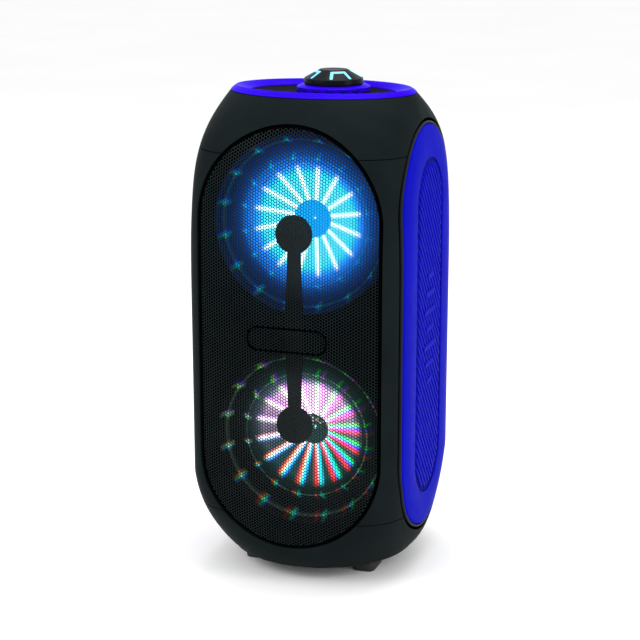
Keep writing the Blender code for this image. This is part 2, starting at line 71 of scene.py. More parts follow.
# Cabinet law, as in the CAD: superellipse levels whose size and squareness change with height.
HALF_WIDTH = 0.153
HALF_DEPTH = 0.1535
SQUARENESS = 5.77
SHOULDER_Z = 0.395
TOP_EDGE_Z = 0.653
TOP_EDGE_X = 0.1276
TOP_EDGE_Y = 0.096
HAUNCH_Z = 0.145
BASE_EDGE_Z = 0.025
BASE_EDGE_X = 0.131
BASE_EDGE_Y = 0.130
UNDERSIDE_Z = 0.018
SEAM_LOW_Z = 0.0966
SEAM_HIGH_Z = 0.5843
SEAM = 0.0004
SEAM_CHAMFER = 0.0007
LIP = 0.004
LIP_INSET = 0.003
WALL = 0.006
FIT = 0.0003

# Front opening, grille and what is behind it.
FRONT_Z = 0.3395
FRONT_STRAIGHT = 0.158
OPENING_R = 0.127
GRILLE_R = 0.1246
GRILLE_INSET = 0.003
GRILLE_THICK = 0.0010
HOLE_PITCH = 0.0042
HOLE_R = 0.00185
HOLE_FREE_RIM = 0.0023
TRAY_R = 0.1264
TRAY_WALL = 0.003
TRAY_INSET = 0.0062
BAFFLE_Y = -0.062
BAFFLE_THICK = 0.006
WOOFER_SPACING = 0.1475
WOOFER_HOLE_R = 0.094
BRACE_Z = 0.350
BRACE_REACH = 0.130
BRACE_DISC_R = 0.0255
BRACE_NECK = 0.009
BRACE_WAIST = 0.013
BADGE_WIDTH = 0.112
BADGE_HEIGHT = 0.034
BADGE_RIM = 0.003

# Side recess, panel and ribs.
SIDE_Z = 0.338
SIDE_STRAIGHT = 0.162
RECESS_R = 0.1222
RECESS_INSET = 0.0040
PANEL_R = 0.1145
PANEL_EDGE_R = 0.1122
BEAD_R = 0.1149
PANEL_BEND_R = 0.0925
PANEL_BEND_STRAIGHT = 0.166
INSERT_R = 0.061
INSERT_STRAIGHT = 0.171
RIB_SLOPE = radians(50)
RIB_PITCH = 0.0084
BAR_WIDTH = 0.0075
BAR_PITCH = 0.0245
BAR_LENGTHS = (0.024, 0.040, 0.054, 0.034, 0.054, 0.040, 0.024)

# Top.
RING_CREST_Z = 0.6594
KNOB_R = 0.0398
KNOB_CROWN_R = 0.0205
KEY_COUNT = 6
KEY_STEP = radians(22)
SEGMENT_COUNT = 4
SEGMENT_TURN = radians(34)
SEGMENT_HALF = radians(21)

# The lamps' light painted on the drivers. Lengths are radii from a driver's axis. RAY_FADE is where the rays
# start and end to fade, and arcs and specks, which are painted glints, are each a band: (middle, half width).
RAY_COUNT = 16
RAY_WIDTH_R = 0.040
RAY_FADE = (0.068, 0.079)
INNER_ARC = (0.0866, 0.0015)
OUTER_ARC = (0.1120, 0.0022)
INNER_SPECKS = (0.0880, 0.0090)
OUTER_SPECKS = (0.1130, 0.0070)

# Back: the bore of each round socket.
SOCKET_BORES = {"dc_inlet": 0.0030, "aux_jack": 0.0018, "mic_jack_1": 0.0034, "mic_jack_2": 0.0034}

COLUMNS = 200
ROUND = 96
FINE_ARC, FINE_SIDE = 96, 80
EDGE = 0.0012
QUARTER = [radians(a) for a in (0, 30, 60, 90)]
FRONT = (radians(90), 0, 0)
REAR = (radians(-90), 0, 0)


# --- materials ---------------------------------------------------------------------------------


class Finish:
    """A node material built from short calls. Each call returns an output socket."""

    def __init__(self, name):
        self.material = bpy.data.materials.new(name)
        self.material.use_nodes = True
        self.tree = self.material.node_tree
        self.shader = self.tree.nodes["Principled BSDF"]

    def feed(self, socket, value):
        if isinstance(value, bpy.types.NodeSocket):
            self.tree.links.new(value, socket)
        elif isinstance(value, tuple) and socket.type == "RGBA":
            socket.default_value = (*value, 1.0)
        else:
            socket.default_value = value

    def set(self, **inputs):
        """Principled inputs by name, with _ for a space."""
        for name, value in inputs.items():
            self.feed(self.shader.inputs[name.replace("_", " ")], value)
        return self

    def node(self, kind, inputs=(), output=0, **settings):
        made = self.tree.nodes.new("ShaderNode" + kind)
        for name, value in settings.items():
            setattr(made, name, value)
        for key, value in dict(inputs).items():
            self.feed(made.inputs[key], value)
        return made.outputs[output]

    def place(self):
        """The object's own coordinates."""
        return self.node("TexCoord", output="Object")

    def split(self):
        """The object's own x, y and z."""
        made = self.tree.nodes.new("ShaderNodeSeparateXYZ")
        self.feed(made.inputs[0], self.place())
        return made.outputs

    def math(self, operation, a, b=0.0, c=0.0):
        return self.node("Math", {0: a, 1: b, 2: c}, operation=operation)

    def times(self, a, b):
        return self.math("MULTIPLY", a, b)

    def times_plus(self, a, b, c):
        return self.math("MULTIPLY_ADD", a, b, c)

    def noise(self, scale, detail=2.0):
        return self.node("TexNoise", {"Vector": self.place(), "Scale": scale, "Detail": detail}, "Fac")

    def remap(self, value, low, high, start, end, smooth=False):
        """value from low..high to start..end, held at the ends."""
        kind = "SMOOTHSTEP" if smooth else "LINEAR"
        inputs = {0: value, 1: low, 2: high, 3: start, 4: end}
        return self.node("MapRange", inputs, interpolation_type=kind)

    def mix(self, share, a, b):
        """Colour a where share is 0, and b where it is 1."""
        return self.node("Mix", {0: share, 6: a, 7: b}, 2, data_type="RGBA")

    def bump(self, height, strength, distance):
        inputs = {"Height": height, "Strength": strength, "Distance": distance}
        return self.set(Normal=self.node("Bump", inputs))


def tinted(finish, colour, spread, scale=18.0):
    """The colour, a little lighter and darker in soft patches."""
    lighter = tuple(min(1.0, c * (1 + spread)) for c in colour)
    darker = tuple(c * (1 - spread) for c in colour)
    patch = finish.remap(finish.noise(scale, 3.0), 0.35, 0.65, 0.0, 1.0)
    return finish.mix(patch, darker, lighter)


def moulded(name, colour, roughness, grain, grain_scale, spread, specular):
    """Moulded plastic: a fine spark-eroded grain, soft patches of gloss and of colour."""
    finish = Finish(name)
    finish.set(Base_Color=tinted(finish, colour, spread), Specular_IOR_Level=specular)
    cloud = finish.noise(40.0, 4.0)
    finish.set(Roughness=finish.remap(cloud, 0.3, 0.7, roughness - 0.04, roughness + 0.04))
    finish.bump(finish.noise(grain_scale, 2.0), grain, 0.0002)
    return finish.material


def coated_steel(name, colour, roughness):
    """Powder coat over perforated sheet: a slight orange peel."""
    finish = Finish(name)
    finish.set(Base_Color=tinted(finish, colour, 0.15, 30.0), Specular_IOR_Level=0.05)
    peel = finish.noise(700.0, 2.0)
    finish.set(Roughness=finish.remap(peel, 0.3, 0.7, roughness - 0.05, roughness + 0.07))
    finish.bump(peel, 0.15, 0.0003)
    return finish.material


def plated(name, colour, roughness):
    """Plated or turned metal with fine lines round the piece's own axis."""
    finish = Finish(name)
    finish.set(Base_Color=tinted(finish, colour, 0.08), Metallic=0.9)
    fine = finish.noise(1200.0, 3.0)
    finish.set(Roughness=finish.remap(fine, 0.3, 0.7, roughness - 0.08, roughness + 0.10))
    finish.bump(fine, 0.10, 0.0002)
    return finish.material


def brace_painted_lamp_light(name, near_lamps, between):
    """Plastic with the drivers' lamp light painted into its colour near both drivers, and painted shade
    halfway between them.
    """
    finish = Finish(name)
    away = finish.math("ABSOLUTE", finish.split()[1])
    share = finish.remap(away, 0.030, 0.085, 0.0, 1.0, smooth=True)
    colour = finish.mix(share, tinted(finish, between, 0.1), tinted(finish, near_lamps, 0.1))
    finish.set(Base_Color=colour, Roughness=0.5, Specular_IOR_Level=0.04)
    finish.bump(finish.noise(1500.0, 2.0), 0.12, 0.0002)
    return finish.material


def rubber(name, colour):
    finish = Finish(name)
    finish.set(Base_Color=tinted(finish, colour, 0.15, 60.0), Specular_IOR_Level=0.35)
    dust = finish.noise(90.0, 4.0)
    finish.set(Roughness=finish.remap(dust, 0.3, 0.7, 0.62, 0.80))
    finish.bump(finish.noise(900.0, 2.0), 0.25, 0.0003)
    return finish.material


def circuit_board(name, colour):
    """Solder mask with faint square traces."""
    finish = Finish(name)
    traces = finish.node("TexBrick", {"Vector": finish.place(), "Scale": 160.0, "Mortar Size": 0.03}, "Fac")
    copper = tuple(min(1.0, c * 1.9) for c in colour)
    finish.set(Base_Color=finish.mix(traces, colour, copper), Specular_IOR_Level=0.5)
    finish.set(Roughness=finish.remap(finish.noise(80.0), 0.3, 0.7, 0.35, 0.5))
    finish.bump(traces, 0.1, 0.0002)
    return finish.material


def glowing(name, colour, strength):
    """A lit diffuser: brighter in the middle of its grain than between."""
    finish = Finish(name)
    grain = finish.remap(finish.noise(300.0, 2.0), 0.3, 0.7, 0.85 * strength, 1.1 * strength)
    finish.set(Base_Color=(0.02, 0.05, 0.08), Roughness=0.35, Emission_Color=colour, Emission_Strength=grain)
    return finish.material


def polar(finish, height=None):
    """(angle in turns, radius) about the piece's own Z axis, or about a level line at a height."""
    across, up, z = finish.split()
    if height is not None:
        up = finish.math("SUBTRACT", z, height)
    turn = finish.times_plus(finish.math("ARCTAN2", up, across), 1 / (2 * pi), 0.5)
    squares = finish.math("ADD", finish.times(across, across), finish.times(up, up))
    return turn, finish.math("SQRT", squares)


def band(finish, value, middle, half_width):
    """1 at the middle, falling smoothly to 0 at half_width from it."""
    away = finish.math("ABSOLUTE", finish.math("SUBTRACT", value, middle))
    return finish.remap(away, 0.0, half_width, 1.0, 0.0, smooth=True)


def lamp_light(name, base, tones, hub, hub_r, sparkle, strength, height=None):
    """Light that a ring of lamps throws on a driver, painted as emission on its cone, cap, surround,
    waveguide and CAD basket (the lamp ring carries it as its own light): rays round the hub, then
    broken arcs and specks, which are painted glints.

    tones holds a Tone for red, green and blue: shift and sway of the rays, their sharpness and
    gain, light between them, extra light towards the top, the radius up to which that light holds,
    how far it takes to fall, and the light of the arcs and of the specks. hub is the colour of the
    painted light inside hub_r, and sparkle the strength of the painted coloured glints on it. height
    is given for a CAD node.
    """
    finish = Finish(name)
    times, times_plus = finish.times, finish.times_plus
    turn, radius = polar(finish, height)
    angle = times(finish.math("SUBTRACT", turn, 0.5), 2 * pi)
    upward = times_plus(finish.math("SINE", angle), 0.5, 0.5)
    leftward = times_plus(finish.math("COSINE", angle), -0.5, 0.5)
    top = finish.math("POWER", upward, 3.0)
    beat = times(turn, float(RAY_COUNT))
    grit = finish.remap(finish.noise(420.0, 2.0), 0.35, 0.65, 0.4, 1.0)
    slender = finish.math("POWER", finish.math("DIVIDE", radius, RAY_WIDTH_R), 2.0)
    start = finish.remap(radius, hub_r - 0.0012, hub_r + 0.0012, 0.0, 1.0, smooth=True)
    ray_end = finish.remap(radius, *RAY_FADE, 1.0, 0.0, smooth=True)
    # Painted glints: the inner arc along the surround's crest, the outer arc on the waveguide step and the
    # lamp ring beside it, with coloured specks on both, shown more to the left.
    arcs = times_plus(band(finish, radius, *OUTER_ARC), 0.5, band(finish, radius, *INNER_ARC))
    window = times_plus(band(finish, radius, *OUTER_SPECKS), 0.7, band(finish, radius, *INNER_SPECKS))
    window = times(times(window, finish.remap(leftward, 0.15, 0.85, 0.25, 1.0)), grit)
    channels = []
    for one in tones:
        swing = finish.math("SINE", finish.math("ADD", angle, one.shift * 9.0))
        own = times_plus(swing, one.sway, finish.math("ADD", beat, one.shift))
        wave = finish.math("COSINE", times(finish.math("SUBTRACT", own, 0.5), 2 * pi))
        wave = times_plus(wave, 0.5, 0.5)
        ray = finish.math("POWER", wave, times(slender, one.sharpness))
        ray = times(times(ray, ray_end), one.gain)
        away = finish.math("MAXIMUM", finish.math("SUBTRACT", radius, one.hold), 0.0)
        fade = finish.math("EXPONENT", times(away, -1 / one.fall))
        field = times_plus(times_plus(top, one.crown, one.between), fade, ray)
        speck = times(times(finish.math("POWER", wave, 26.0), one.specks), window)
        arc_light = times_plus(finish.math("POWER", wave, 6.0), one.arcs * 1.6, one.arcs * 0.4)
        outer = times_plus(arcs, times(arc_light, grit), speck)
        channels.append(times_plus(field, start, outer))
    light = finish.node("CombineColor", dict(enumerate(channels)))
    cells = {"Vector": finish.place(), "Scale": 240.0}
    # Painted coloured glints on the hub, shown towards its top, and a painted bright point at its centre.
    sparks, near = (finish.node("TexVoronoi", cells, output) for output in ("Color", "Distance"))
    shown = finish.remap(upward, 0.5, 0.8, 0.0, sparkle)
    core = finish.mix(times(finish.remap(near, 0.25, 0.5, 1.0, 0.0), shown), hub, sparks)
    centre = finish.remap(radius, 0.0012, 0.0024, 1.0, 0.0, smooth=True)
    core = finish.mix(centre, core, (0.4, 0.9, 1.0))
    finish.set(Base_Color=tinted(finish, base, 0.1), Roughness=0.5, Specular_IOR_Level=0.04)
    finish.set(Emission_Color=finish.mix(start, core, light), Emission_Strength=strength)
    finish.bump(finish.noise(900.0, 2.0), 0.12, 0.0002)
    return finish.material


# Colour, roughness, depth and scale of the grain, spread of the colour, specular level.
MOULDED = {
    "shell_plastic": ((0.0062, 0.0094, 0.0100), 0.46, 0.12, 1500.0, 0.10, 0.009),
    # The bead's black trim plastic is lighter than the shell as a painted highlight along it.
    "bead_plastic_painted_highlight": ((0.011, 0.013, 0.014), 0.35, 0.12, 1500.0, 0.10, 0.03),
    "trim_plastic": ((0.0014, 0.0016, 0.0018), 0.45, 0.12, 1500.0, 0.10, 0.03),
    "inner_plastic": ((0.0008, 0.0009, 0.0010), 0.6, 0.12, 1500.0, 0.10, 0.0),
    "deck_plastic": ((0.0022, 0.0025, 0.0026), 0.5, 0.25, 1200.0, 0.2, 0.004),
    "blue_plastic": ((0.003, 0.004, 0.320), 0.40, 0.20, 1100.0, 0.04, 0.004),
    # The insert plate's much darker blue is painted shade in the grooves between the ribs.
    "groove_blue_painted_shade": ((0.001, 0.001, 0.11), 0.45, 0.20, 1100.0, 0.04, 0.004),
    "ring_plastic": ((0.020, 0.000, 0.52), 0.30, 0.05, 1400.0, 0.03, 0.008),
    "key_plastic": ((0.004, 0.004, 0.26), 0.30, 0.08, 1400.0, 0.05, 0.04),
    "knob_plastic": ((0.0022, 0.0038, 0.0046), 0.30, 0.10, 1500.0, 0.10, 0.05),
    "cap_plastic": ((0.0050, 0.0080, 0.0120), 0.34, 0.05, 1500.0, 0.10, 0.02),
    "cone_paper": ((0.12, 0.14, 0.16), 0.5, 0.3, 700.0, 0.10, 0.5),
    "ferrite": ((0.04, 0.04, 0.045), 0.65, 0.4, 800.0, 0.10, 0.5),
    "battery_wrap": ((0.03, 0.08, 0.25), 0.25, 0.05, 400.0, 0.10, 0.5),
}


def make_finishes():
    made = {name: moulded(name, *values) for name, values in MOULDED.items()}
    # The brace's colour holds painted lamp light near the drivers and painted shade between them.
    made["brace_plastic"] = brace_painted_lamp_light("brace_plastic", (0.0300, 0.0390, 0.0400), (0.0012, 0.0014, 0.0015))
    made["grille_steel"] = coated_steel("grille_steel", (0.0065, 0.0105, 0.0112), 0.42)
    made["foot_rubber"] = rubber("foot_rubber", (0.016, 0.016, 0.017))
    made["steel"] = plated("steel", (0.42, 0.42, 0.43), 0.35)
    made["screw_black"] = plated("screw_black", (0.05, 0.05, 0.052), 0.4)
    made["circuit_board"] = circuit_board("circuit_board", (0.01, 0.12, 0.05))
    made["light_cyan"] = glowing("light_cyan", (0.12, 0.72, 1.0), 1.5)
    made["light_mixed"] = glowing("light_mixed", (0.5, 0.8, 0.7), 0.4)
    # A blue glow painted round each lit knob segment, on plastic that is no lamp.
    made["edge_blue"] = glowing("edge_blue", (0.02, 0.05, 0.8), 0.35)
    return made


Tone = namedtuple("Tone", "shift sway sharpness gain between crown hold fall arcs specks")
BLUE_RAYS = (
    Tone(0.00, 0.00, 3.4, 1.00, 0.07, 0.00, 0.054, 0.0110, 0.00, 0.0),
    Tone(0.00, 0.00, 2.6, 0.80, 0.70, 0.00, 0.064, 0.0100, 0.12, 0.25),
    Tone(0.06, 0.00, 1.6, 0.50, 0.92, 0.00, 0.075, 0.0115, 0.22, 0.45),
)
MIXED_RAYS = (
    Tone(0.12, 0.12, 2.4, 1.50, 0.01, 1.25, 0.067, 0.0045, 0.11, 0.26),
    Tone(-0.09, 0.10, 2.4, 1.25, 0.06, 0.62, 0.067, 0.0070, 0.22, 0.50),
    Tone(0.01, 0.20, 2.1, 1.45, 0.06, 1.20, 0.067, 0.0060, 0.15, 0.42),
)


def driver_lights():
    """For each driver, the finish of its cone and cap, of what stands round them, and of its CAD basket, each
    with the lamps' light painted on.
    """
    pale, black = (0.006, 0.008, 0.010), (0.0012, 0.0012, 0.0014)
    made = {}
    for name, slot, *light in (
        ("upper", "light_cyan", BLUE_RAYS, (0.0, 0.36, 0.95), 0.0255, 0.0, 1.8),
        ("lower", "light_mixed", MIXED_RAYS, (0.014, 0.045, 0.038), 0.0215, 0.6, 1.7),
    ):
        height = centre_of(name + "_led_ring").z
        made[name] = {
            "slot": slot,
            "cone": lamp_light(name + "_rays", pale, *light),
            "round": lamp_light(name + "_spill", black, *light),
            "basket": lamp_light(name + "_rim_spill", black, *light, height),
        }
    return made


# --- mesh tools --------------------------------------------------------------------------------


def blend(z, start, end):
    """0 at start, 1 at end, and held at those values outside."""
    return np.clip((np.asarray(z, float) - start) / (end - start), 0.0, 1.0)


def section(z):
    """Half width, half depth and squareness of the cabinet at a height."""
    up = blend(z, SHOULDER_Z, TOP_EDGE_Z)
    down = blend(z, HAUNCH_Z, BASE_EDGE_Z)
    half_x = HALF_WIDTH - (HALF_WIDTH - TOP_EDGE_X) * up**6.93 - (HALF_WIDTH - BASE_EDGE_X) * down**5.67
    half_y = HALF_DEPTH - (HALF_DEPTH - TOP_EDGE_Y) * up**6.76 - (HALF_DEPTH - BASE_EDGE_Y) * down**6.0
    return half_x, half_y, 2 + (SQUARENESS - 2) * (1 - up**2.5) ** 1.32 * (1 - down**1.3) ** 2.2


def level(z, inset=0.0):
    """A ring of the cabinet at a height, moved inwards by inset."""
    half_x, half_y, power = section(z)
    return float(z), float(half_x) - inset, float(half_y) - inset, float(power)


def depth_at(across, z, inset, side):
    """How far the cabinet's surface is from its axis, on its front or on its side."""
    half_x, half_y, power = section(z)
    far, near = (half_x, half_y) if side == "front" else (half_y, half_x)
    share = np.clip(np.abs(across) / (far - inset), 0.0, 1.0) ** power
    return (near - inset) * (1 - share) ** (1 / power)


def on_front(x, z, inset):
    return np.stack([x, -depth_at(x, z, inset, "front"), z], -1)


def on_rear(x, z, inset):
    return np.stack([x, depth_at(x, z, inset, "front"), z], -1)


def on_right(y, z, inset):
    return np.stack([depth_at(y, z, inset, "side"), y, z], -1)


def on_left(y, z, inset):
    return np.stack([-depth_at(y, z, inset, "side"), y, z], -1)


def placed(name, data, location=(0, 0, 0), rotation=(0, 0, 0)):
    made = bpy.data.objects.new(name, data)
    made.location = location
    made.rotation_euler = rotation
    bpy.context.scene.collection.objects.link(made)
    return made


def add_object(name, mesh, finish, *place, sharp=32):
    if finish is not None:
        mesh.materials.append(finish)
    mesh.shade_smooth()
    mesh.set_sharp_from_angle(angle=radians(sharp))
    return placed(name, mesh, *place)


def mesh_of(name, points, faces, outward=None):
    """A mesh. A closed one gets its normals from its volume, an open one from the direction outward."""
    mesh = bpy.data.meshes.new(name)
    mesh.from_pydata([tuple(p) for p in points], [], faces)
    body = bmesh.new()
    body.from_mesh(mesh)
    if outward is None:
        bmesh.ops.recalc_face_normals(body, faces=body.faces)
    else:
        facing = sum((face.normal * face.calc_area() for face in body.faces), Vector())
        if facing.dot(Vector(outward)) < 0:
            bmesh.ops.reverse_faces(body, faces=body.faces)
    body.to_mesh(mesh)
    body.free()
    return mesh


def skin(name, rings, closed=False, capped=True, outward=None, cyclic=True):
    """A mesh through rings of equal length: a closed tube, a capped solid or an open strip."""
    rings = [np.asarray(ring, float) for ring in rings]
    count = len(rings[0])
    points = np.concatenate(rings)
    faces = []
    for row in range(len(rings) if closed else len(rings) - 1):
        here = row * count
        there = (row + 1) % len(rings) * count
        for column in range(count if cyclic else count - 1):
            after = (column + 1) % count
            faces.append((here + column, here + after, there + after, there + column))
    if capped and not closed:
        faces.append(tuple(range(count)))
        faces.append(tuple(range(len(points) - count, len(points))))
    return mesh_of(name, points, faces, outward)


def superellipse(z, half_x, half_y, power):
    """Points of one ring, closer together at the corners."""
    turn = 2 * pi * np.arange(COLUMNS) / COLUMNS
    turn = turn + 0.125 * np.sin(4 * turn)
    reach = (np.abs(np.cos(turn)) / half_x) ** power + (np.abs(np.sin(turn)) / half_y) ** power
    reach = reach ** (-1 / power)
    return np.stack([reach * np.cos(turn), reach * np.sin(turn), np.full(COLUMNS, z)], -1)


def loft(name, levels, closed=True):
    """A mesh through (z, half x, half y, squareness) levels."""
    return skin(name, [superellipse(*values) for values in levels], closed)


def circle(radius, height, turns=ROUND):
    turn = 2 * pi * np.arange(turns) / turns
    return np.stack([radius * np.cos(turn), radius * np.sin(turn), np.full(turns, height)], -1)


def turned(name, profile, closed=True, turns=ROUND):
    """A mesh turned round its own Z from (radius, height) points."""
    return skin(name, [circle(radius, height, turns) for radius, height in profile], closed)


def arc(centre_x, centre_y, radius, start, end, steps):
    """Points along an arc, angles in degrees."""
    turn = np.radians(np.linspace(start, end, steps + 1))
    return list(zip(centre_x + radius * np.cos(turn), centre_y + radius * np.sin(turn)))


def stadium(radius, straight, arc_steps=64, side_steps=56):
    """An upright stadium outline, anticlockwise from its lower right corner."""
    points = []
    for sign in (1, -1):
        for step in range(side_steps):
            points.append((sign * radius, sign * straight * (2 * step / side_steps - 1)))
        points += arc(0, sign * straight, radius, 90 - 90 * sign, 270 - 90 * sign, arc_steps)[:-1]
    return np.array(points)


def rounded_rectangle(width, height, radius, steps=6):
    x = width / 2 - radius
    y = height / 2 - radius
    points = arc(x, -y, radius, -90, 0, steps) + arc(x, y, radius, 0, 90, steps)
    points += arc(-x, y, radius, 90, 180, steps) + arc(-x, -y, radius, 180, 270, steps)
    return np.array(points)


def flat_ring(outline, height):
    return np.column_stack([outline, np.full(len(outline), height)])


def prism(name, outline, low, high):
    return skin(name, [flat_ring(outline, z) for z in (low, high)])


def soft_block(name, width, height, radius, low, high, edge):
    """A rounded-rectangle block whose top edge is rounded."""

    def shrunk(by, z):
        return flat_ring(rounded_rectangle(width - 2 * by, height - 2 * by, radius - by), z)

    top = [shrunk(edge - edge * cos(a), high - edge + edge * sin(a)) for a in QUARTER]
    return skin(name, [shrunk(0, low)] + top)


def laid_rings(place, centre_z, straight, shape, arc_steps=FINE_ARC, side_steps=FINE_SIDE):
    """Stadium rings laid on the cabinet, one for each (radius, inset) of shape.

    straight is half the length of the straight sides, or a function that gives it for a radius.
    """
    rings = []
    for radius, inset in shape:
        half_side = straight(radius) if callable(straight) else straight
        outline = stadium(radius, half_side, arc_steps, side_steps)
        rings.append(place(outline[:, 0], centre_z + outline[:, 1], inset))
    return rings


def drop(*objects):
    for obj in objects:
        bpy.data.objects.remove(obj, do_unlink=True)


def cut(mesh, cutters):
    """The mesh with every cutter's shape taken out."""
    body = helper(mesh)
    for cutter in cutters:
        boolean = body.modifiers.new(cutter.name, "BOOLEAN")
        boolean.operation = "DIFFERENCE"
        boolean.object = cutter
    bpy.context.view_layer.update()
    graph = bpy.context.evaluated_depsgraph_get()
    made = bpy.data.meshes.new_from_object(body.evaluated_get(graph))
    made.materials.clear()
    drop(body)
    return made


def joined(name, meshes, bands=None):
    """One mesh from several. bands gives, for a mesh, the heights (low, high) that it is trimmed to."""
    whole = bmesh.new()
    for index, mesh in enumerate(meshes):
        part = bmesh.new()
        part.from_mesh(mesh)
        for height, side in zip((bands or {}).get(index, ()), (-1, 1)):
            geometry = part.verts[:] + part.edges[:] + part.faces[:]
            plane = {"plane_co": (0, 0, height), "plane_no": (0, 0, side)}
            bmesh.ops.bisect_plane(part, geom=geometry, clear_outer=True, **plane)
        trimmed = bpy.data.meshes.new(name + "_part")
        part.to_mesh(trimmed)
        part.free()
        whole.from_mesh(trimmed)
        bpy.data.meshes.remove(trimmed)
    made = bpy.data.meshes.new(name)
    whole.to_mesh(made)
    whole.free()
    return made


def finished(piece, body, slot, *replaced):
    """Rides the piece on its body and hides the CAD nodes it stands for. slot is not used."""
    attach(piece, body)
    if replaced:
        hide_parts(*replaced)


def show(name, mesh, finish, ride, *place, **settings):
    """Adds a visible piece. ride holds its body, its slot and the CAD nodes it stands for."""
    finished(add_object(name, mesh, FINISHES[finish], *place, **settings), *ride)


def helper(mesh, *place):
    """A cutter, or a body to be cut, removed after use."""
    return add_object(mesh.name, mesh, None, *place)


def centre_of(node):
    low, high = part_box(node)
    return (low + high) / 2


# --- cabinet -----------------------------------------------------------------------------------


def cabinet():
    """Three lipped shells, with openings for the grille, the side panels, the socket plate and the port."""
    step = 0.0042
    chamfer = SEAM_CHAMFER

    def heights(low, high):
        return [float(z) for z in np.linspace(low, high, int((high - low) / step) + 2)]

    low_edge, high_edge = SEAM_LOW_Z + SEAM, SEAM_HIGH_Z - SEAM
    middle = [level(low_edge, chamfer)] + [level(z) for z in heights(low_edge + chamfer, high_edge - chamfer)]
    middle += [level(high_edge, chamfer), level(high_edge, LIP_INSET), level(SEAM_HIGH_Z + LIP, LIP_INSET)]
    middle += [level(z, WALL) for z in heights(SEAM_LOW_Z - LIP, SEAM_HIGH_Z + LIP)[::-3]]
    middle += [level(SEAM_LOW_Z - LIP, WALL), level(SEAM_LOW_Z - LIP, LIP_INSET), level(low_edge, LIP_INSET)]

    rebate = LIP_INSET - FIT
    low_edge = SEAM_HIGH_Z + SEAM
    rolled = 0.0010
    top = [level(low_edge, chamfer)] + [level(z) for z in heights(low_edge + chamfer, TOP_EDGE_Z - rolled)]
    top += [level(TOP_EDGE_Z - 0.0003, 0.0004), level(TOP_EDGE_Z, rolled), level(TOP_EDGE_Z, 0.016)]
    top += [level(0.649, 0.016)] + [level(z, WALL) for z in (0.6485, 0.640, 0.630, 0.620, 0.605)]
    top += [level(low_edge + LIP, WALL), level(low_edge + LIP, rebate), level(low_edge, rebate)]

    high_edge = SEAM_LOW_Z - SEAM
    bottom = [(UNDERSIDE_Z, 0.118, 0.117, 2), (0.0188, 0.1235, 0.1225, 2), (0.0206, 0.1273, 0.1263, 2)]
    bottom += [level(z) for z in heights(BASE_EDGE_Z, high_edge - chamfer)] + [level(high_edge, chamfer)]
    bottom += [level(high_edge, rebate), level(high_edge - LIP, rebate)]
    bottom += [level(z, WALL) for z in (high_edge - LIP, 0.080, 0.066, 0.050)]
    bottom += [(UNDERSIDE_Z + WALL, 0.116, 0.115, 2)]

    cut_r = OPENING_R + EDGE
    outline = stadium(cut_r, FRONT_STRAIGHT, FINE_ARC, FINE_SIDE)
    cutters = [helper(prism("front_opening", outline, 0.09, 0.2), (0, 0, FRONT_Z), FRONT)]
    rims = [
        rim_strip("front_rim", on_front, FRONT_Z, FRONT_STRAIGHT, OPENING_R, 0.0078, (0, -1, 0)),
        rim_strip("right_rim", on_right, SIDE_Z, SIDE_STRAIGHT, RECESS_R, RECESS_INSET, (1, 0, 0)),
        rim_strip("left_rim", on_left, SIDE_Z, SIDE_STRAIGHT, RECESS_R, RECESS_INSET, (-1, 0, 0)),
    ]
    radii = [RECESS_R + EDGE, *np.linspace(RECESS_R, 0.006, 14)]
    for side, place in (("right", on_right), ("left", on_left)):
        over = laid_rings(place, SIDE_Z, SIDE_STRAIGHT, [(r, -0.006) for r in radii[::-1]], 48, 40)
        under = laid_rings(place, SIDE_Z, SIDE_STRAIGHT, [(r, RECESS_INSET) for r in radii], 48, 40)
        cutters.append(helper(skin(side + "_recess", over + under)))
    plate_low, plate_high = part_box("rear_plate")
    plate_size = (plate_high.x - plate_low.x + 0.0008, plate_high.z - plate_low.z + 0.0008)
    plate_hole = prism("plate_hole", rounded_rectangle(*plate_size, 0.008), 0.13, 0.18)
    plate_hole = helper(plate_hole, (0, 0, centre_of("rear_plate").z), REAR)
    port_r = (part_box("bass_port")[1].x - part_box("bass_port")[0].x) / 2 + 0.0005
    port_hole = turned("port_hole", [(port_r, 0.130), (port_r, 0.180)], False)
    port_hole = helper(port_hole, (0, 0, centre_of("bass_port").z), REAR)

    shells = (
        ("mid_shell", middle, cutters + [plate_hole, port_hole], (SEAM_LOW_Z + SEAM, SEAM_HIGH_Z - SEAM)),
        ("top_shell", top, cutters, (SEAM_HIGH_Z + SEAM, 1.0)),
        ("bottom_shell", bottom, cutters, (-1.0, SEAM_LOW_Z - SEAM)),
    )
    for node, levels, its_cutters, band in shells:
        body = cut(loft(node, levels, node != "bottom_shell"), its_cutters)
        mesh = joined(node, [body, *rims], {1: band, 2: band, 3: band})
        show(node + "_moulding", mesh, "shell_plastic", ("cabinet", "shell_plastic", node))
    drop(*cutters, plate_hole, port_hole)


def rim_strip(name, place, centre_z, straight, radius, depth, outward):
    """The rolled edge and the wall of an opening in the cabinet."""
    quarter = [pi / 2 * step / 4 for step in range(5)]
    shape = [(radius + EDGE * (1 - sin(a)), EDGE * (1 - cos(a))) for a in quarter] + [(radius, depth)]
    return skin(name, laid_rings(place, centre_z, straight, shape), capped=False, outward=outward)


def feet():
    """Rubber feet with a rolled lower edge."""
    for node in ("foot_front_left", "foot_front_right", "foot_rear_left", "foot_rear_right"):
        low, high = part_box(node)
        size = high - low
        block = soft_block(node, size.x, size.y, 0.009, 0, size.z, 0.0006)
        for vertex in block.vertices:
            vertex.co.z = size.z - vertex.co.z
        block.flip_normals()
        base = centre_of(node) - Vector((0, 0, size.z / 2))
        show(node + "_pad", block, "foot_rubber", ("cabinet", "foot_rubber", node), base)


# --- front -------------------------------------------------------------------------------------


def stadium_distance(x, z, straight):
    """How far a point is from the middle line of an upright stadium, and the nearest point there."""
    near_z = np.clip(z, -straight, straight)
    return np.hypot(x, z - near_z), near_z


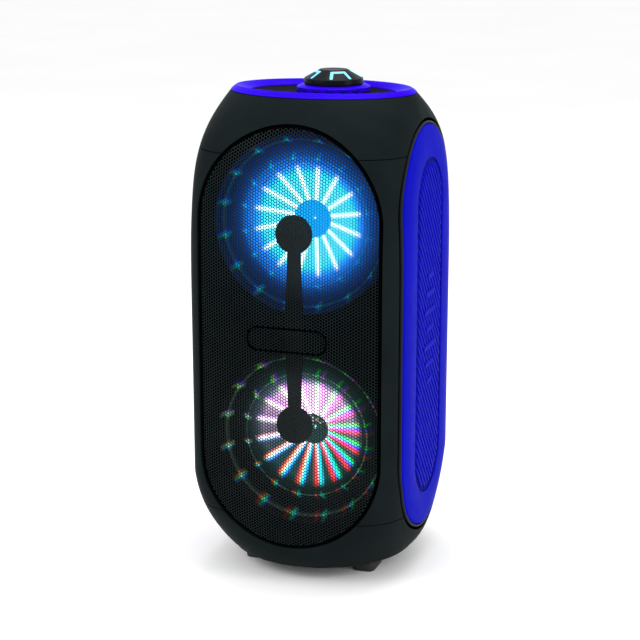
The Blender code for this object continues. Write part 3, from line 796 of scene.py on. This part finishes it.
def perforated_sheet(low, high):
    """Points and faces of the perforated sheet between two heights over its centre.

    Every hexagonal cell has one round hole. Cells at the rim have none, and end on the outline.
    """
    column_pitch = HOLE_PITCH * sqrt(3) / 2
    reach = GRILLE_R + HOLE_PITCH
    columns = int(reach / column_pitch) + 1
    rows = int((FRONT_STRAIGHT + reach) / HOLE_PITCH) + 1
    corner_r = HOLE_PITCH / sqrt(3)
    corners = [(corner_r * cos(a), corner_r * sin(a)) for a in np.radians(np.arange(0, 360, 60))]
    round_angles = np.radians(np.arange(0, 360, 45))
    points, faces, index = [], [], {}

    def corner(x, z):
        away, near_z = stadium_distance(x, z, FRONT_STRAIGHT)
        key = (round(x * 1e5), round(z * 1e5))
        if key not in index:
            if away > GRILLE_R:
                x, z = x * GRILLE_R / away, near_z + (z - near_z) * GRILLE_R / away
            index[key] = len(points)
            points.append((x, z, 0.0))
        return index[key]

    for column in range(-columns, columns + 1):
        x = column * column_pitch
        for row in range(-rows, rows + 1):
            z = (row + 0.5 * (column % 2)) * HOLE_PITCH
            if not low <= z < high:
                continue
            away, near_z = stadium_distance(x, z, FRONT_STRAIGHT)
            if away > GRILLE_R + corner_r * 0.8:
                continue
            outer = [corner(x + dx, z + dz) for dx, dz in corners]
            if away > GRILLE_R - HOLE_FREE_RIM:
                faces.append(outer)
                continue
            first = len(points)
            ring = [(x + HOLE_R * cos(a), z + HOLE_R * sin(a)) for a in round_angles]
            points += [(u, v, 0.0) for u, v in ring] + [(u, v, GRILLE_THICK) for u, v in ring]
            hole = [first + k for k in range(8)]
            # Two hole corners face the right and the left corner of the cell, and the rest share the sides.
            spans = ((0, 1), (1, 2, 3), (3, 4), (4, 5), (5, 6, 7), (7, 0))
            for side, span in enumerate(spans):
                faces.append([outer[side], outer[(side + 1) % 6]] + [hole[k] for k in span[::-1]])
            for here in hole:
                there = first + (here - first + 1) % 8
                faces.append([here, there, there + 8, here + 8])
    return points, faces


def grille():
    """The perforated sheet in two halves, each under the triangle limit, its dark border and badge frame."""
    split = 0.0002
    halves = {"lower": (-1.0, split), "upper": (split, 1.0)}
    for half, band in halves.items():
        flat, faces = perforated_sheet(*band)
        flat = np.array(flat)
        laid = on_front(flat[:, 0], FRONT_Z + flat[:, 1], GRILLE_INSET + flat[:, 2])
        mesh = mesh_of("grille_sheet_" + half, laid, faces, (0, -1, 0))
        show("grille_sheet_" + half, mesh, "grille_steel", ("cabinet", "grille_steel"), sharp=50)
    shape = [(GRILLE_R - 0.0026, GRILLE_INSET - 0.0002), (GRILLE_R + 0.0002, GRILLE_INSET - 0.0002)]
    shape += [(GRILLE_R + 0.0004, GRILLE_INSET + 0.0004), (GRILLE_R + 0.0004, GRILLE_INSET + 0.0030)]
    shape += [(GRILLE_R - 0.0026, GRILLE_INSET + 0.0030)]
    mesh = skin("grille_edge", laid_rings(on_front, FRONT_Z, FRONT_STRAIGHT, shape), closed=True)
    show("grille_edge", mesh, "inner_plastic", ("cabinet", "grille_steel", "front_grille"))

    middle = centre_of("badge_frame")
    rings = []
    for step in range(12):
        a = 2 * pi * step / 12
        grow = BADGE_RIM / 2 * (cos(a) - 1)
        outline = rounded_rectangle(BADGE_WIDTH + 2 * grow, BADGE_HEIGHT + 2 * grow, 0.015 + grow, 12)
        rise = 0.0011 * sin(a) - 0.0002
        rings.append(on_front(outline[:, 0], middle.z + outline[:, 1], GRILLE_INSET - rise))
    mesh = skin("badge_frame_ridge", rings, True)
    show("badge_frame_ridge", mesh, "inner_plastic", ("cabinet", "grille_steel", "badge_frame"))


def baffle():
    """The tray behind the grille, with a hole for each driver."""
    inner_r = TRAY_R - TRAY_WALL
    back_y = BAFFLE_Y + BAFFLE_THICK
    edges = [(TRAY_R, TRAY_INSET), (inner_r, TRAY_INSET)]
    rim = laid_rings(on_front, FRONT_Z, FRONT_STRAIGHT, edges, 64, 56)

    def flat(radius, y):
        outline = stadium(radius, FRONT_STRAIGHT)
        return np.column_stack([outline[:, 0], np.full(len(outline), y), FRONT_Z + outline[:, 1]])

    rings = [flat(TRAY_R, back_y), *rim, flat(inner_r, BAFFLE_Y)]
    cutters = []
    for sign in (1, -1):
        profile = [(WOOFER_HOLE_R, 0.040), (WOOFER_HOLE_R, 0.090)]
        hole = turned("woofer_hole", profile, False)
        place = (0, 0, FRONT_Z + sign * WOOFER_SPACING)
        cutters.append(helper(hole, place, FRONT))
    mesh = cut(skin("front_baffle", rings), cutters)
    drop(*cutters)
    show("baffle_tray", mesh, "inner_plastic", ("cabinet", "trim_plastic", "front_baffle"))


def brace():
    """The dumbbell-shaped brace behind the grille, with a rounded front edge, and its pillar."""
    low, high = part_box("grille_brace")

    def outline(grow):
        disc = BRACE_DISC_R + grow
        neck = degrees(asin((BRACE_NECK + grow) / disc))
        upper = arc(0, BRACE_REACH, disc, neck - 90, 270 - neck, 40)
        lower = arc(0, -BRACE_REACH, disc, neck + 90, 450 - neck, 40)
        return np.array([*upper, (-BRACE_WAIST - grow, 0), *lower, (BRACE_WAIST + grow, 0)])

    edge = 0.0008
    rings = [flat_ring(outline(0), -high.y)]
    for a in QUARTER:
        rings.append(flat_ring(outline(edge * cos(a) - edge), -low.y - edge + edge * sin(a)))
    mesh = skin("brace_plate", rings)
    ride = ("cabinet", "trim_plastic", "grille_brace")
    show("brace_plate", mesh, "brace_plastic", ride, (0, 0, BRACE_Z), FRONT)

    low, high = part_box("brace_pillar")
    block = soft_block("brace_post", high.x - low.x, high.z - low.z, 0.005, -high.y, -low.y, 0.0004)
    ride = ("cabinet", "trim_plastic", "brace_pillar")
    show("brace_post", block, "brace_plastic", ride, (0, 0, (low.z + high.z) / 2), FRONT)


def driver(name, lights):
    """One woofer: rolled surround, cone, dust cap, waveguide steps and lamp ring, with the lamps' light
    painted on them.
    """
    centre = Vector((0, BAFFLE_Y, centre_of(name + "_led_ring").z))

    def part(node, profile, finish, body, slot, closed=True):
        piece = add_object(f"{name}_{node}_turned", turned(node, profile, closed), finish, centre, FRONT)
        finished(piece, body, slot, f"{name}_{node}")

    roll_r, roll, sheet, foot = 0.085, 0.0072, 0.0013, 0.0045
    angles = np.radians(np.linspace(0, 180, 13))
    surround = [(0.097, 0.0036), (0.097, 0.0046), (0.0966, 0.0050)]
    surround += [(roll_r + roll * cos(a), foot + roll * sin(a)) for a in angles]
    surround += [(roll_r + (roll - sheet) * cos(a), foot + (roll - sheet) * sin(a)) for a in angles[::-1]]
    part("woofer_surround", surround, lights["round"], "cabinet", "foot_rubber")

    face = [(0.0773, 0.0042), (0.0650, -0.0011), (0.0500, -0.0075), (0.0350, -0.0139), (0.0208, -0.0199)]
    back = [(r, h - 0.0018) for r, h in face[::-1]]
    part("woofer_cone", face + back, lights["cone"], name + "_cone", "cone_paper")

    dish = [(0.0285, -0.0158), (0.0208, -0.0192), (0.0120, -0.0231), (0.0060, -0.0256), (0.0006, -0.0270)]
    under = [(r, h - 0.0004) for r, h in dish[::-1]]
    part("dust_cap", under + dish, lights["cone"], name + "_cone", "cone_paper", closed=False)

    guide = [(0.1015, 0.0003), (0.1015, 0.0042), (0.1045, 0.0044), (0.1055, 0.0095), (0.1060, 0.010)]
    guide += [(0.1092, 0.010), (0.1096, 0.0105), (0.1110, 0.0215), (0.1114, 0.022), (0.1161, 0.022)]
    guide += [(0.1165, 0.0225), (0.1180, 0.0335), (0.1184, 0.034), (0.1205, 0.034), (0.1205, 0.0003)]
    part("waveguide", guide, lights["round"], "cabinet", "trim_plastic")
    lamp = [(0.1118, 0.0223), (0.1122, 0.0234), (0.1154, 0.0234), (0.1158, 0.0223)]
    part("led_ring", lamp, lights["round"], "cabinet", lights["slot"])


# --- sides -------------------------------------------------------------------------------------


def side_straight(radius):
    """Half the length of a side stadium's straight part: the insert is longer for its width."""
    radii = (INSERT_R, PANEL_BEND_R, PANEL_EDGE_R, BEAD_R, RECESS_R)
    upright = PANEL_R + SIDE_STRAIGHT - PANEL_EDGE_R
    straights = (INSERT_STRAIGHT, PANEL_BEND_STRAIGHT, upright, upright, SIDE_STRAIGHT)
    return float(np.interp(radius, radii, straights))


def side(name, place, outward):
    """Trim liner and bead, panel with its dished border, and insert with slanted ribs and plain bars."""
    liner = [(RECESS_R - 0.0002, 0.0006), (RECESS_R - 0.0006, 0.0030), (PANEL_EDGE_R, 0.0032)]
    liner += [(PANEL_EDGE_R, 0.0039), (RECESS_R, 0.0039), (RECESS_R, 0.0006)]
    mesh = skin(name + "_liner", laid_rings(place, SIDE_Z, side_straight, liner), closed=True)
    # The liner is the black trim; its near-black, unreflecting finish is also painted shade in the groove
    # round the bead.
    show(name + "_trim_liner", mesh, "inner_plastic", ("cabinet", "trim_plastic", name + "_trim_ring"))
    angles = [2 * pi * step / 16 for step in range(16)]
    bead = [(BEAD_R + 0.0018 * cos(a), 0.0019 - 0.0016 * sin(a)) for a in angles]
    mesh = skin(name + "_bead", laid_rings(place, SIDE_Z, side_straight, bead), closed=True)
    # Black trim with a lighter finish: a painted highlight along the bead.
    show(name + "_trim_bead", mesh, "bead_plastic_painted_highlight", ("cabinet", "trim_plastic"))

    back, face, dish = RECESS_INSET - 2 * FIT, 0.0004, 0.0014
    edge_r = PANEL_EDGE_R
    shape = [(edge_r, back), (edge_r, 0.0016), (edge_r - 0.0005, 0.0008), (edge_r - 0.0014, face)]
    shape += [(r, face) for r in np.linspace(edge_r - 0.004, PANEL_BEND_R + 0.002, 5)]
    for share in np.linspace(0, 1, 9):
        radius = PANEL_BEND_R + (INSERT_R + 0.001 - PANEL_BEND_R) * share
        shape.append((radius, face + dish * share**1.6))
    shape += [(INSERT_R + FIT, face + dish + 0.0006), (INSERT_R + FIT, back)]
    mesh = skin(name + "_panel", laid_rings(place, SIDE_Z, side_straight, shape), closed=True)
    ride = ("cabinet", "blue_plastic", name + "_side_panel")
    show(name + "_panel_moulding", mesh, "blue_plastic", ride, sharp=40)

    valley, crest = 0.0031, 0.0014
    radii = [INSERT_R, INSERT_R - 0.0012, *np.linspace(INSERT_R - 0.003, 0.004, 10)]
    front_side = [(r, valley if r < INSERT_R else valley + 0.0003) for r in radii]
    over = laid_rings(place, SIDE_Z, side_straight, front_side, 64, 60)
    under = laid_rings(place, SIDE_Z, side_straight, [(INSERT_R, back)], 64, 60)
    mesh = skin(name + "_plate", under + over)
    # The plate shows between the ribs; its darker blue is painted shade in those grooves.
    show(name + "_insert_plate", mesh, "groove_blue_painted_shade", ("cabinet", "blue_plastic", name + "_ribbed_insert"))
    raised = [rib(place, line, valley + 0.0002, crest, outward) for line in rib_lines()]
    for number, length in enumerate(BAR_LENGTHS):
        height = ((len(BAR_LENGTHS) - 1) / 2 - number) * BAR_PITCH
        raised.append(bar(place, length, SIDE_Z + height, valley, crest - 0.0008, outward))
    mesh = joined(name + "_ribs", raised)
    show(name + "_insert_ribs", mesh, "blue_plastic", ("cabinet", "blue_plastic"), sharp=40)


def bar(place, length, z, low, high, outward):
    """A plain raised bar with round ends, across the middle of the insert."""
    half = BAR_WIDTH / 2
    rings = []
    for grow, inset in ((0.0, low), (0.0, high + 0.0004), (-0.0005, high), (-0.0022, high)):
        outline = stadium(half + grow, (length - BAR_WIDTH) / 2, 10, 12)
        rings.append(place(outline[:, 1], z + outline[:, 0], inset))
    return skin("bar", rings, outward=outward)


def rib_lines():
    """Ends of each rib's centre line, in the panel's plane: across (to the rear) and up."""
    reach = INSERT_R - 0.0045
    along = np.array([cos(RIB_SLOPE), -sin(RIB_SLOPE)])
    normal = np.array([sin(RIB_SLOPE), cos(RIB_SLOPE)])
    fineness, shortest = 0.0005, 0.010
    steps = np.arange(-0.30, 0.30, fineness)
    count = int((INSERT_STRAIGHT * cos(RIB_SLOPE) + reach) / RIB_PITCH)
    lines = []
    for number in range(-count, count + 1):
        points = normal * number * RIB_PITCH + steps[:, None] * along
        away, _ = stadium_distance(points[:, 0], points[:, 1], INSERT_STRAIGHT)
        inside = points[away < reach]
        if len(inside) > shortest / fineness:
            lines.append((inside[0], inside[-1]))
    return lines


def rib(place, line, low, crest, outward):
    """A raised bar along a line of the panel, with sloping flanks and ends."""
    start, end = line
    length = hypot(*(end - start))
    along = (end - start) / length
    across = np.array([-along[1], along[0]])
    foot, top = RIB_PITCH * 0.36, RIB_PITCH * 0.27
    count = max(4, int(length / 0.006))
    rings = []
    for step in range(count + 1):
        share = step / count
        at_end = step in (0, count)
        middle = start + (end - start) * share
        height = low if at_end else crest
        sides = [(-foot, low), (-top, height), (-top * 0.4, height - 0.0001), (top * 0.4, height - 0.0001)]
        sides += [(top, height), (foot, low)]
        points = np.array([middle + across * offset for offset, _ in sides])
        insets = np.array([inset for _, inset in sides])
        rings.append(place(points[:, 0], SIDE_Z + points[:, 1], insets))
    return skin("rib", rings, capped=False, outward=outward, cyclic=False)


# --- top ---------------------------------------------------------------------------------------


def top_ring():
    """The ring on the cabinet's top edge, and the deck inside it."""
    deck_low, deck_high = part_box("control_deck")
    deck_x, deck_y = deck_high.x, deck_high.y
    ring = [
        (TOP_EDGE_Z + FIT, 0.1266, 0.0950, 2),
        (TOP_EDGE_Z + 0.0008, 0.1274, 0.0958, 2),
        (0.6563, 0.1252, 0.0894, 2),
        (0.6567, 0.1247, 0.0888, 2),
        (RING_CREST_Z - 0.0006, 0.1217, 0.0821, 2),
        (RING_CREST_Z, 0.1206, 0.0806, 2),
        (RING_CREST_Z - 0.0002, 0.1192, 0.0793, 2),
        (0.6565, 0.1105, 0.0735, 2),
        (0.6528, deck_x + 0.0007, deck_y + 0.0007, 2),
        (0.6522, deck_x + 0.0004, deck_y + 0.0004, 2),
        (0.6505, deck_x + 0.0004, deck_y + 0.0004, 2),
        (0.6505, 0.1110, 0.0794, 2),
        (TOP_EDGE_Z + FIT, 0.1110, 0.0794, 2),
    ]
    ride = ("cabinet", "ring_plastic", "top_ring")
    show("top_ring_moulding", loft("top_ring", ring), "ring_plastic", ride, sharp=24)
    edge = 0.0006
    deck = [(deck_low.z, deck_x, deck_y, 2), (deck_high.z - edge, deck_x, deck_y, 2)]
    deck += [(deck_high.z, deck_x - edge, deck_y - edge, 2), (deck_high.z, 0.0045, 0.0045, 2)]
    deck += [(deck_low.z, 0.0045, 0.0045, 2)]
    show("deck_plate", loft("deck", deck), "deck_plastic", ("cabinet", "trim_plastic", "control_deck"))


def knob_base():
    """The blue disc under the knob, with a pocket for each push key, and the keys."""
    low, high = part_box("knob_base")
    centre = Vector(((low.x + high.x) / 2, (low.y + high.y) / 2, 0))
    radius = (high.x - low.x) / 2
    profile = [(radius, low.z), (radius, high.z - 0.0031), (radius - 0.0003, high.z - 0.0026)]
    profile += [(radius - 0.0054, high.z - 0.0003), (radius - 0.0062, high.z)]
    profile += [(0.006, high.z), (0.006, low.z)]
    cutters, keys = [], []
    for number in range(KEY_COUNT):
        turn = (number - (KEY_COUNT - 1) / 2) * KEY_STEP
        node = f"push_key_{number + 1}"
        key_z = centre_of(node).z
        pocket = prism("pocket", rounded_rectangle(0.0098, 0.0040, 0.0012), 0.0425, 0.060)
        place = (centre + Vector((0, 0, key_z)), (radians(90), 0, turn))
        cutters.append(helper(pocket, *place))
        mesh = soft_block(node, 0.0090, 0.0032, 0.0010, 0.0443, 0.0496, 0.0005)
        keys.append((add_object(node + "_cap", mesh, FINISHES["key_plastic"], *place), node))
    mesh = turned("knob_base", profile)
    for vertex in mesh.vertices:
        vertex.co += centre
    mesh = cut(mesh, cutters)
    drop(*cutters)
    show("knob_base_moulding", mesh, "ring_plastic", ("cabinet", "ring_plastic", "knob_base"), sharp=24)
    for key, node in keys:
        finished(key, node, "key_plastic", node)


def knob():
    """The conical knob, its flat cap and the lit segments on its flank, each with a painted blue glow round
    it.
    """
    low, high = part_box("knob")
    cap_low, cap_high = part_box("knob_cap")
    axis = Vector(((low.x + high.x) / 2, (low.y + high.y) / 2, 0))
    rim = Vector((KNOB_R - 0.0010, low.z + 0.0080))
    crown = Vector((KNOB_CROWN_R, cap_high.z - 0.0010))
    slope = (crown - rim).normalized()
    outward = Vector((slope.y, -slope.x))

    def flank(share, lift=0.0):
        return rim.lerp(crown, share) + outward * lift

    profile = [(0.0032, 0.6710), (0.0032, low.z), (KNOB_R - 0.0008, low.z), (KNOB_R, low.z + 0.0008)]
    profile += [(KNOB_R, low.z + 0.0068), (KNOB_R - 0.0003, low.z + 0.0075), tuple(rim)]
    profile += [tuple(flank(share)) for share in (0.03, 0.25, 0.5, 0.75, 0.97)]
    profile += [tuple(crown), (KNOB_CROWN_R - 0.0004, crown.y + 0.0001)]
    profile += [(KNOB_CROWN_R - 0.0008, crown.y - 0.0012)]
    mesh = turned("knob", profile, False, 128)
    show("knob_moulding", mesh, "knob_plastic", ("knob", "knob_plastic", "knob"), axis)

    bars, edges = [], []
    for number in range(SEGMENT_COUNT):
        middle = radians(-90) + SEGMENT_TURN + number * 2 * pi / SEGMENT_COUNT
        bars.append(segment(flank, middle, 0.0019, 0.00045))
        edges.append(segment(flank, middle, 0.0025, 0.00025))
    # Each wider strip under a segment is plastic with a painted blue glow round the lit bar.
    for piece_name, meshes, finish, *ride in (
        ("knob_light_segments", bars, "light_cyan", "knob", "light_cyan", "knob_light_guide"),
        ("knob_light_edges", edges, "edge_blue", "knob", "key_plastic"),
    ):
        show(piece_name, joined(piece_name, meshes), finish, ride, axis)

    cap_r = (cap_high.x - cap_low.x) / 2
    cap = [(cap_r, cap_low.z), (cap_r, cap_high.z - 0.0006), (cap_r - 0.0004, cap_high.z - 0.0001)]
    cap += [(cap_r - 0.0012, cap_high.z), (0.0120, cap_high.z - 0.0003), (0.0040, cap_high.z - 0.0004)]
    mesh = turned("knob_cap", cap, False, 128)
    show("knob_cap_disc", mesh, "cap_plastic", ("knob", "knob_plastic", "knob_cap"), axis)


def segment(flank, middle, half_width, lift):
    """One lit segment: two legs down the flank joined by a bar at the top, with round ends."""
    foot_share, bar_share, leg_steps = 0.16, 0.84, 7
    path = [(-1.0, share) for share in np.linspace(foot_share, bar_share, leg_steps)]
    path += [(turn, bar_share) for turn in np.linspace(-1, 1, 11)[1:-1]]
    path += [(1.0, share) for share in np.linspace(bar_share, foot_share, leg_steps)]
    last = len(path) - 1
    bends = (leg_steps - 1, last - leg_steps + 1)
    points, normals = [], []
    for turn, share in path:
        angle = middle + turn * SEGMENT_HALF
        at = flank(share)
        up = flank(share, 1.0) - at
        points.append(Vector((at.x * cos(angle), at.x * sin(angle), at.y)))
        normals.append(Vector((up.x * cos(angle), up.x * sin(angle), up.y)))
    rings = []
    for index, (point, normal) in enumerate(zip(points, normals)):
        forward = (points[min(index + 1, last)] - points[max(index - 1, 0)]).normalized()
        across = forward.cross(normal).normalized()
        wide = half_width * (1.25 if index in bends else 1.0)
        ring = []
        for offset, height in ((-1, -0.3), (-1, 0.7), (-0.75, 1.0), (0.75, 1.0), (1, 0.7), (1, -0.3)):
            ring.append(point + across * wide * offset + normal * lift * height)
        rings.append(ring)
        if index in (0, last):
            outward = forward * (-1 if index == 0 else 1)
            tip = [p.lerp(point + normal * (p - point).dot(normal), 0.45) for p in ring]
            tip = [p + outward * half_width * 0.85 for p in tip]
            rings.insert(0 if index == 0 else len(rings), tip)
    return skin("segment", rings)


# --- rear --------------------------------------------------------------------------------------


def screw_mesh():
    """A pan head with a cross recess, its top at height 0."""
    head = [(0.0001, 0.0), (0.0016, -0.0001), (0.0026, -0.0006), (0.0031, -0.0013), (0.0031, -0.0022)]
    head = turned("screw", head[::-1], False, 32)
    blades = []
    for turn in (0, 90):
        blade = prism("blade", rounded_rectangle(0.0036, 0.0008, 0.0001, 2), -0.0013, 0.001)
        blades.append(helper(blade, (0, 0, 0), (0, 0, radians(turn + 20))))
    mesh = cut(head, blades)
    drop(*blades)
    mesh.materials.append(FINISHES["screw_black"])
    return mesh


def screws():
    """Plate screws and the cabinet screws along the two rear edges, each on the surface's own normal."""
    mesh = screw_mesh()
    plate = centre_of("rear_plate")
    face_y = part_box("rear_plate")[1].y
    spots = []
    for across in (-0.053, 0.053):
        for up in (-0.068, 0.068):
            spots.append((Vector((across, face_y + 0.0010, plate.z + up)), Vector((0, 1, 0))))
    for across in (-0.088, 0.088):
        for z in (0.135, 0.285, 0.435, 0.545):
            corners = on_rear(np.array([across, across + 0.001, across]), np.array([z, z, z + 0.001]), 0.0)
            at, right, above = (Vector(corner) for corner in corners)
            normal = (above - at).cross(right - at).normalized()
            spots.append((at + normal * 0.0012, normal if normal.y > 0 else -normal))
    for number, (at, normal) in enumerate(spots):
        turn = normal.to_track_quat("Z", "Y").to_euler()
        finished(placed(f"screw_{number + 1}", mesh, at, turn), "cabinet", "steel")


def socket_plate():
    """The plate at the back, with a hole for each socket and for the switch."""
    low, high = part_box("rear_plate")
    middle = centre_of("rear_plate")
    size = high - low
    plate = soft_block("plate", size.x, size.z, 0.0078, 0, size.y, 0.0006)
    cutters = []
    for node in SOCKET_BORES:
        at = centre_of(node)
        hole = turned("hole", [(0.0065, -0.02), (0.0065, 0.02)], False)
        cutters.append(helper(hole, (at.x, high.y, at.z), REAR))
    for node, grow in (("usb_socket", 0.0006), ("power_rocker", 0.0012)):
        node_low, node_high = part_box(node)
        at = (node_low + node_high) / 2
        wide, tall = node_high.x - node_low.x + grow, node_high.z - node_low.z + grow * 2
        hole = prism("hole", rounded_rectangle(wide, tall, 0.0010), -0.02, 0.02)
        cutters.append(helper(hole, (at.x, high.y, at.z), REAR))
    body = helper(plate, (middle.x, low.y, middle.z), REAR)
    bpy.context.view_layer.update()
    plate = body.data.copy()
    plate.transform(body.matrix_world)
    drop(body)
    mesh = cut(plate, cutters)
    drop(*cutters)
    show("socket_plate", mesh, "trim_plastic", ("cabinet", "trim_plastic", "rear_plate"))


def sockets():
    """The round sockets, each with a collar on the plate."""
    for node, bore in SOCKET_BORES.items():
        at = centre_of(node)
        shape = [(bore, -0.0110), (bore, 0.0012), (bore + 0.0004, 0.0016), (0.0062, 0.0016), (0.0066, 0.0012)]
        shape += [(0.0078, 0.0012), (0.0085, 0.0006), (0.0085, FIT), (0.0062, FIT), (0.0062, -0.0140)]
        mesh = turned(node, shape, False, 48)
        ride = ("cabinet", "knob_plastic", node)
        place = (at.x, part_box("rear_plate")[1].y, at.z)
        show(node + "_bushing", mesh, "knob_plastic", ride, place, REAR)


def rocker():
    """The power switch, dished between its two ends."""
    at = centre_of("power_rocker")
    profile = [(-0.0065, 0.0018), (-0.0052, 0.0019), (0.0, 0.0004), (0.0052, 0.0019), (0.0065, 0.0018)]
    profile += [(0.0060, -0.0050), (-0.0060, -0.0050)]
    outline = np.array(profile)
    ends = [(-0.0110, 0.94), (-0.0106, 1.0), (0.0106, 1.0), (0.0110, 0.94)]
    rings = [flat_ring(outline * np.array([scale, 1.0]), z) for z, scale in ends]
    mesh = skin("rocker", rings)
    ride = ("power_rocker", "knob_plastic", "power_rocker")
    place = (at.x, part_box("rear_plate")[1].y - 0.0020, at.z)
    show("rocker_cap", mesh, "knob_plastic", ride, place, (0, radians(-90), 0))


def port():
    """The bass port's tube with its flared mouth."""
    profile = [(0.0240, 0.0650), (0.0240, 0.1240), (0.0270, 0.1400), (0.0328, 0.1470), (0.0330, 0.1476)]
    profile += [(0.0330, 0.1524), (0.0326, 0.1530), (0.0300, 0.1530)]
    for a in np.radians(np.linspace(10, 90, 8)):
        profile.append((0.0290 - 0.0066 * sin(a), 0.1530 - 0.0210 * (1 - cos(a))))
    profile += [(0.0219, 0.120), (0.0215, 0.100), (0.0215, 0.0650)]
    place = (0, 0, centre_of("bass_port").z)
    ride = ("cabinet", "trim_plastic", "bass_port")
    show("port_flare", turned("port", profile), "trim_plastic", ride, place, REAR)


# --- light, floor and camera ---------------------------------------------------------------------


def area_light(name, place, target, size, energy):
    lamp = bpy.data.lights.new(name, "AREA")
    lamp.shape = "RECTANGLE"
    lamp.size, lamp.size_y = size
    lamp.energy = energy
    facing = Vector(target) - Vector(place)
    placed(name, lamp, place, facing.to_track_quat("-Z", "Y").to_euler())


def studio():
    """White surroundings, three soft lamps and a pale floor."""
    scene = bpy.context.scene
    scene.view_settings.view_transform = "Standard"
    world = bpy.data.worlds.new("studio")
    world.use_nodes = True
    world.node_tree.nodes["Background"].inputs[0].default_value = (1.0, 1.0, 1.0, 1)
    world.node_tree.nodes["Background"].inputs[1].default_value = 1.0
    scene.world = world
    aim = (0, 0, 0.34)
    area_light("key_light", (-1.5, -1.7, 1.9), aim, (1.4, 1.4), 30)
    area_light("side_light", (2.3, -0.5, 1.0), aim, (0.8, 1.6), 22)
    area_light("top_light", (0.2, 0.4, 2.3), aim, (1.6, 1.2), 22)

    floor_finish = Finish("floor_paint")
    floor_finish.set(Base_Color=tinted(floor_finish, (0.97, 0.97, 0.97), 0.01, 1.5), Roughness=0.7)
    half = 40.0
    corners = [(-half, -half, 0), (half, -half, 0), (half, half, 0), (-half, half, 0)]
    floor = add_object("floor", mesh_of("floor", corners, [(0, 1, 2, 3)], (0, 0, 1)), floor_finish.material)
    floor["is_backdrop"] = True


def camera():
    """The main view: from the right of the front and from above."""
    azimuth, pitch, distance = radians(18.69), radians(15.02), 2.497
    aim = Vector((0, 0, 0.302))
    back = Vector((sin(azimuth) * cos(pitch), -cos(azimuth) * cos(pitch), sin(pitch)))
    lens = bpy.data.cameras.new("camera")
    lens.lens = 101.25
    lens.sensor_width = 36
    lens.shift_x, lens.shift_y = -0.0053, 0.0375
    turn = (-back).to_track_quat("-Z", "Y").to_euler()
    bpy.context.scene.camera = placed("camera", lens, aim + back * distance, turn)


# --- the speaker ---------------------------------------------------------------------------------

FINISHES = make_finishes()
LIGHTS = driver_lights()

cabinet()
feet()
grille()
baffle()
brace()
for driver_name, driver_finishes in LIGHTS.items():
    driver(driver_name, driver_finishes)
side("right", on_right, (1, 0, 0))
side("left", on_left, (-1, 0, 0))
top_ring()
knob_base()
knob()
socket_plate()
sockets()
rocker()
port()
screws()

for row in frame["record"]["subparts"]:
    node = frame["nodes"][row["node"]]
    node.data.materials.clear()
    node.data.materials.append(FINISHES[row["material_slot"]])
for driver_name, driver_finishes in LIGHTS.items():
    # The CAD basket gets the lamps' light painted on it too.
    frame["nodes"][driver_name + "_woofer_basket"].data.materials[0] = driver_finishes["basket"]

studio()
camera()

sizes = {"cad": cad_bounds, "visual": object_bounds()}
{name: [list(low), list(high)] for name, (low, high) in sizes.items()}
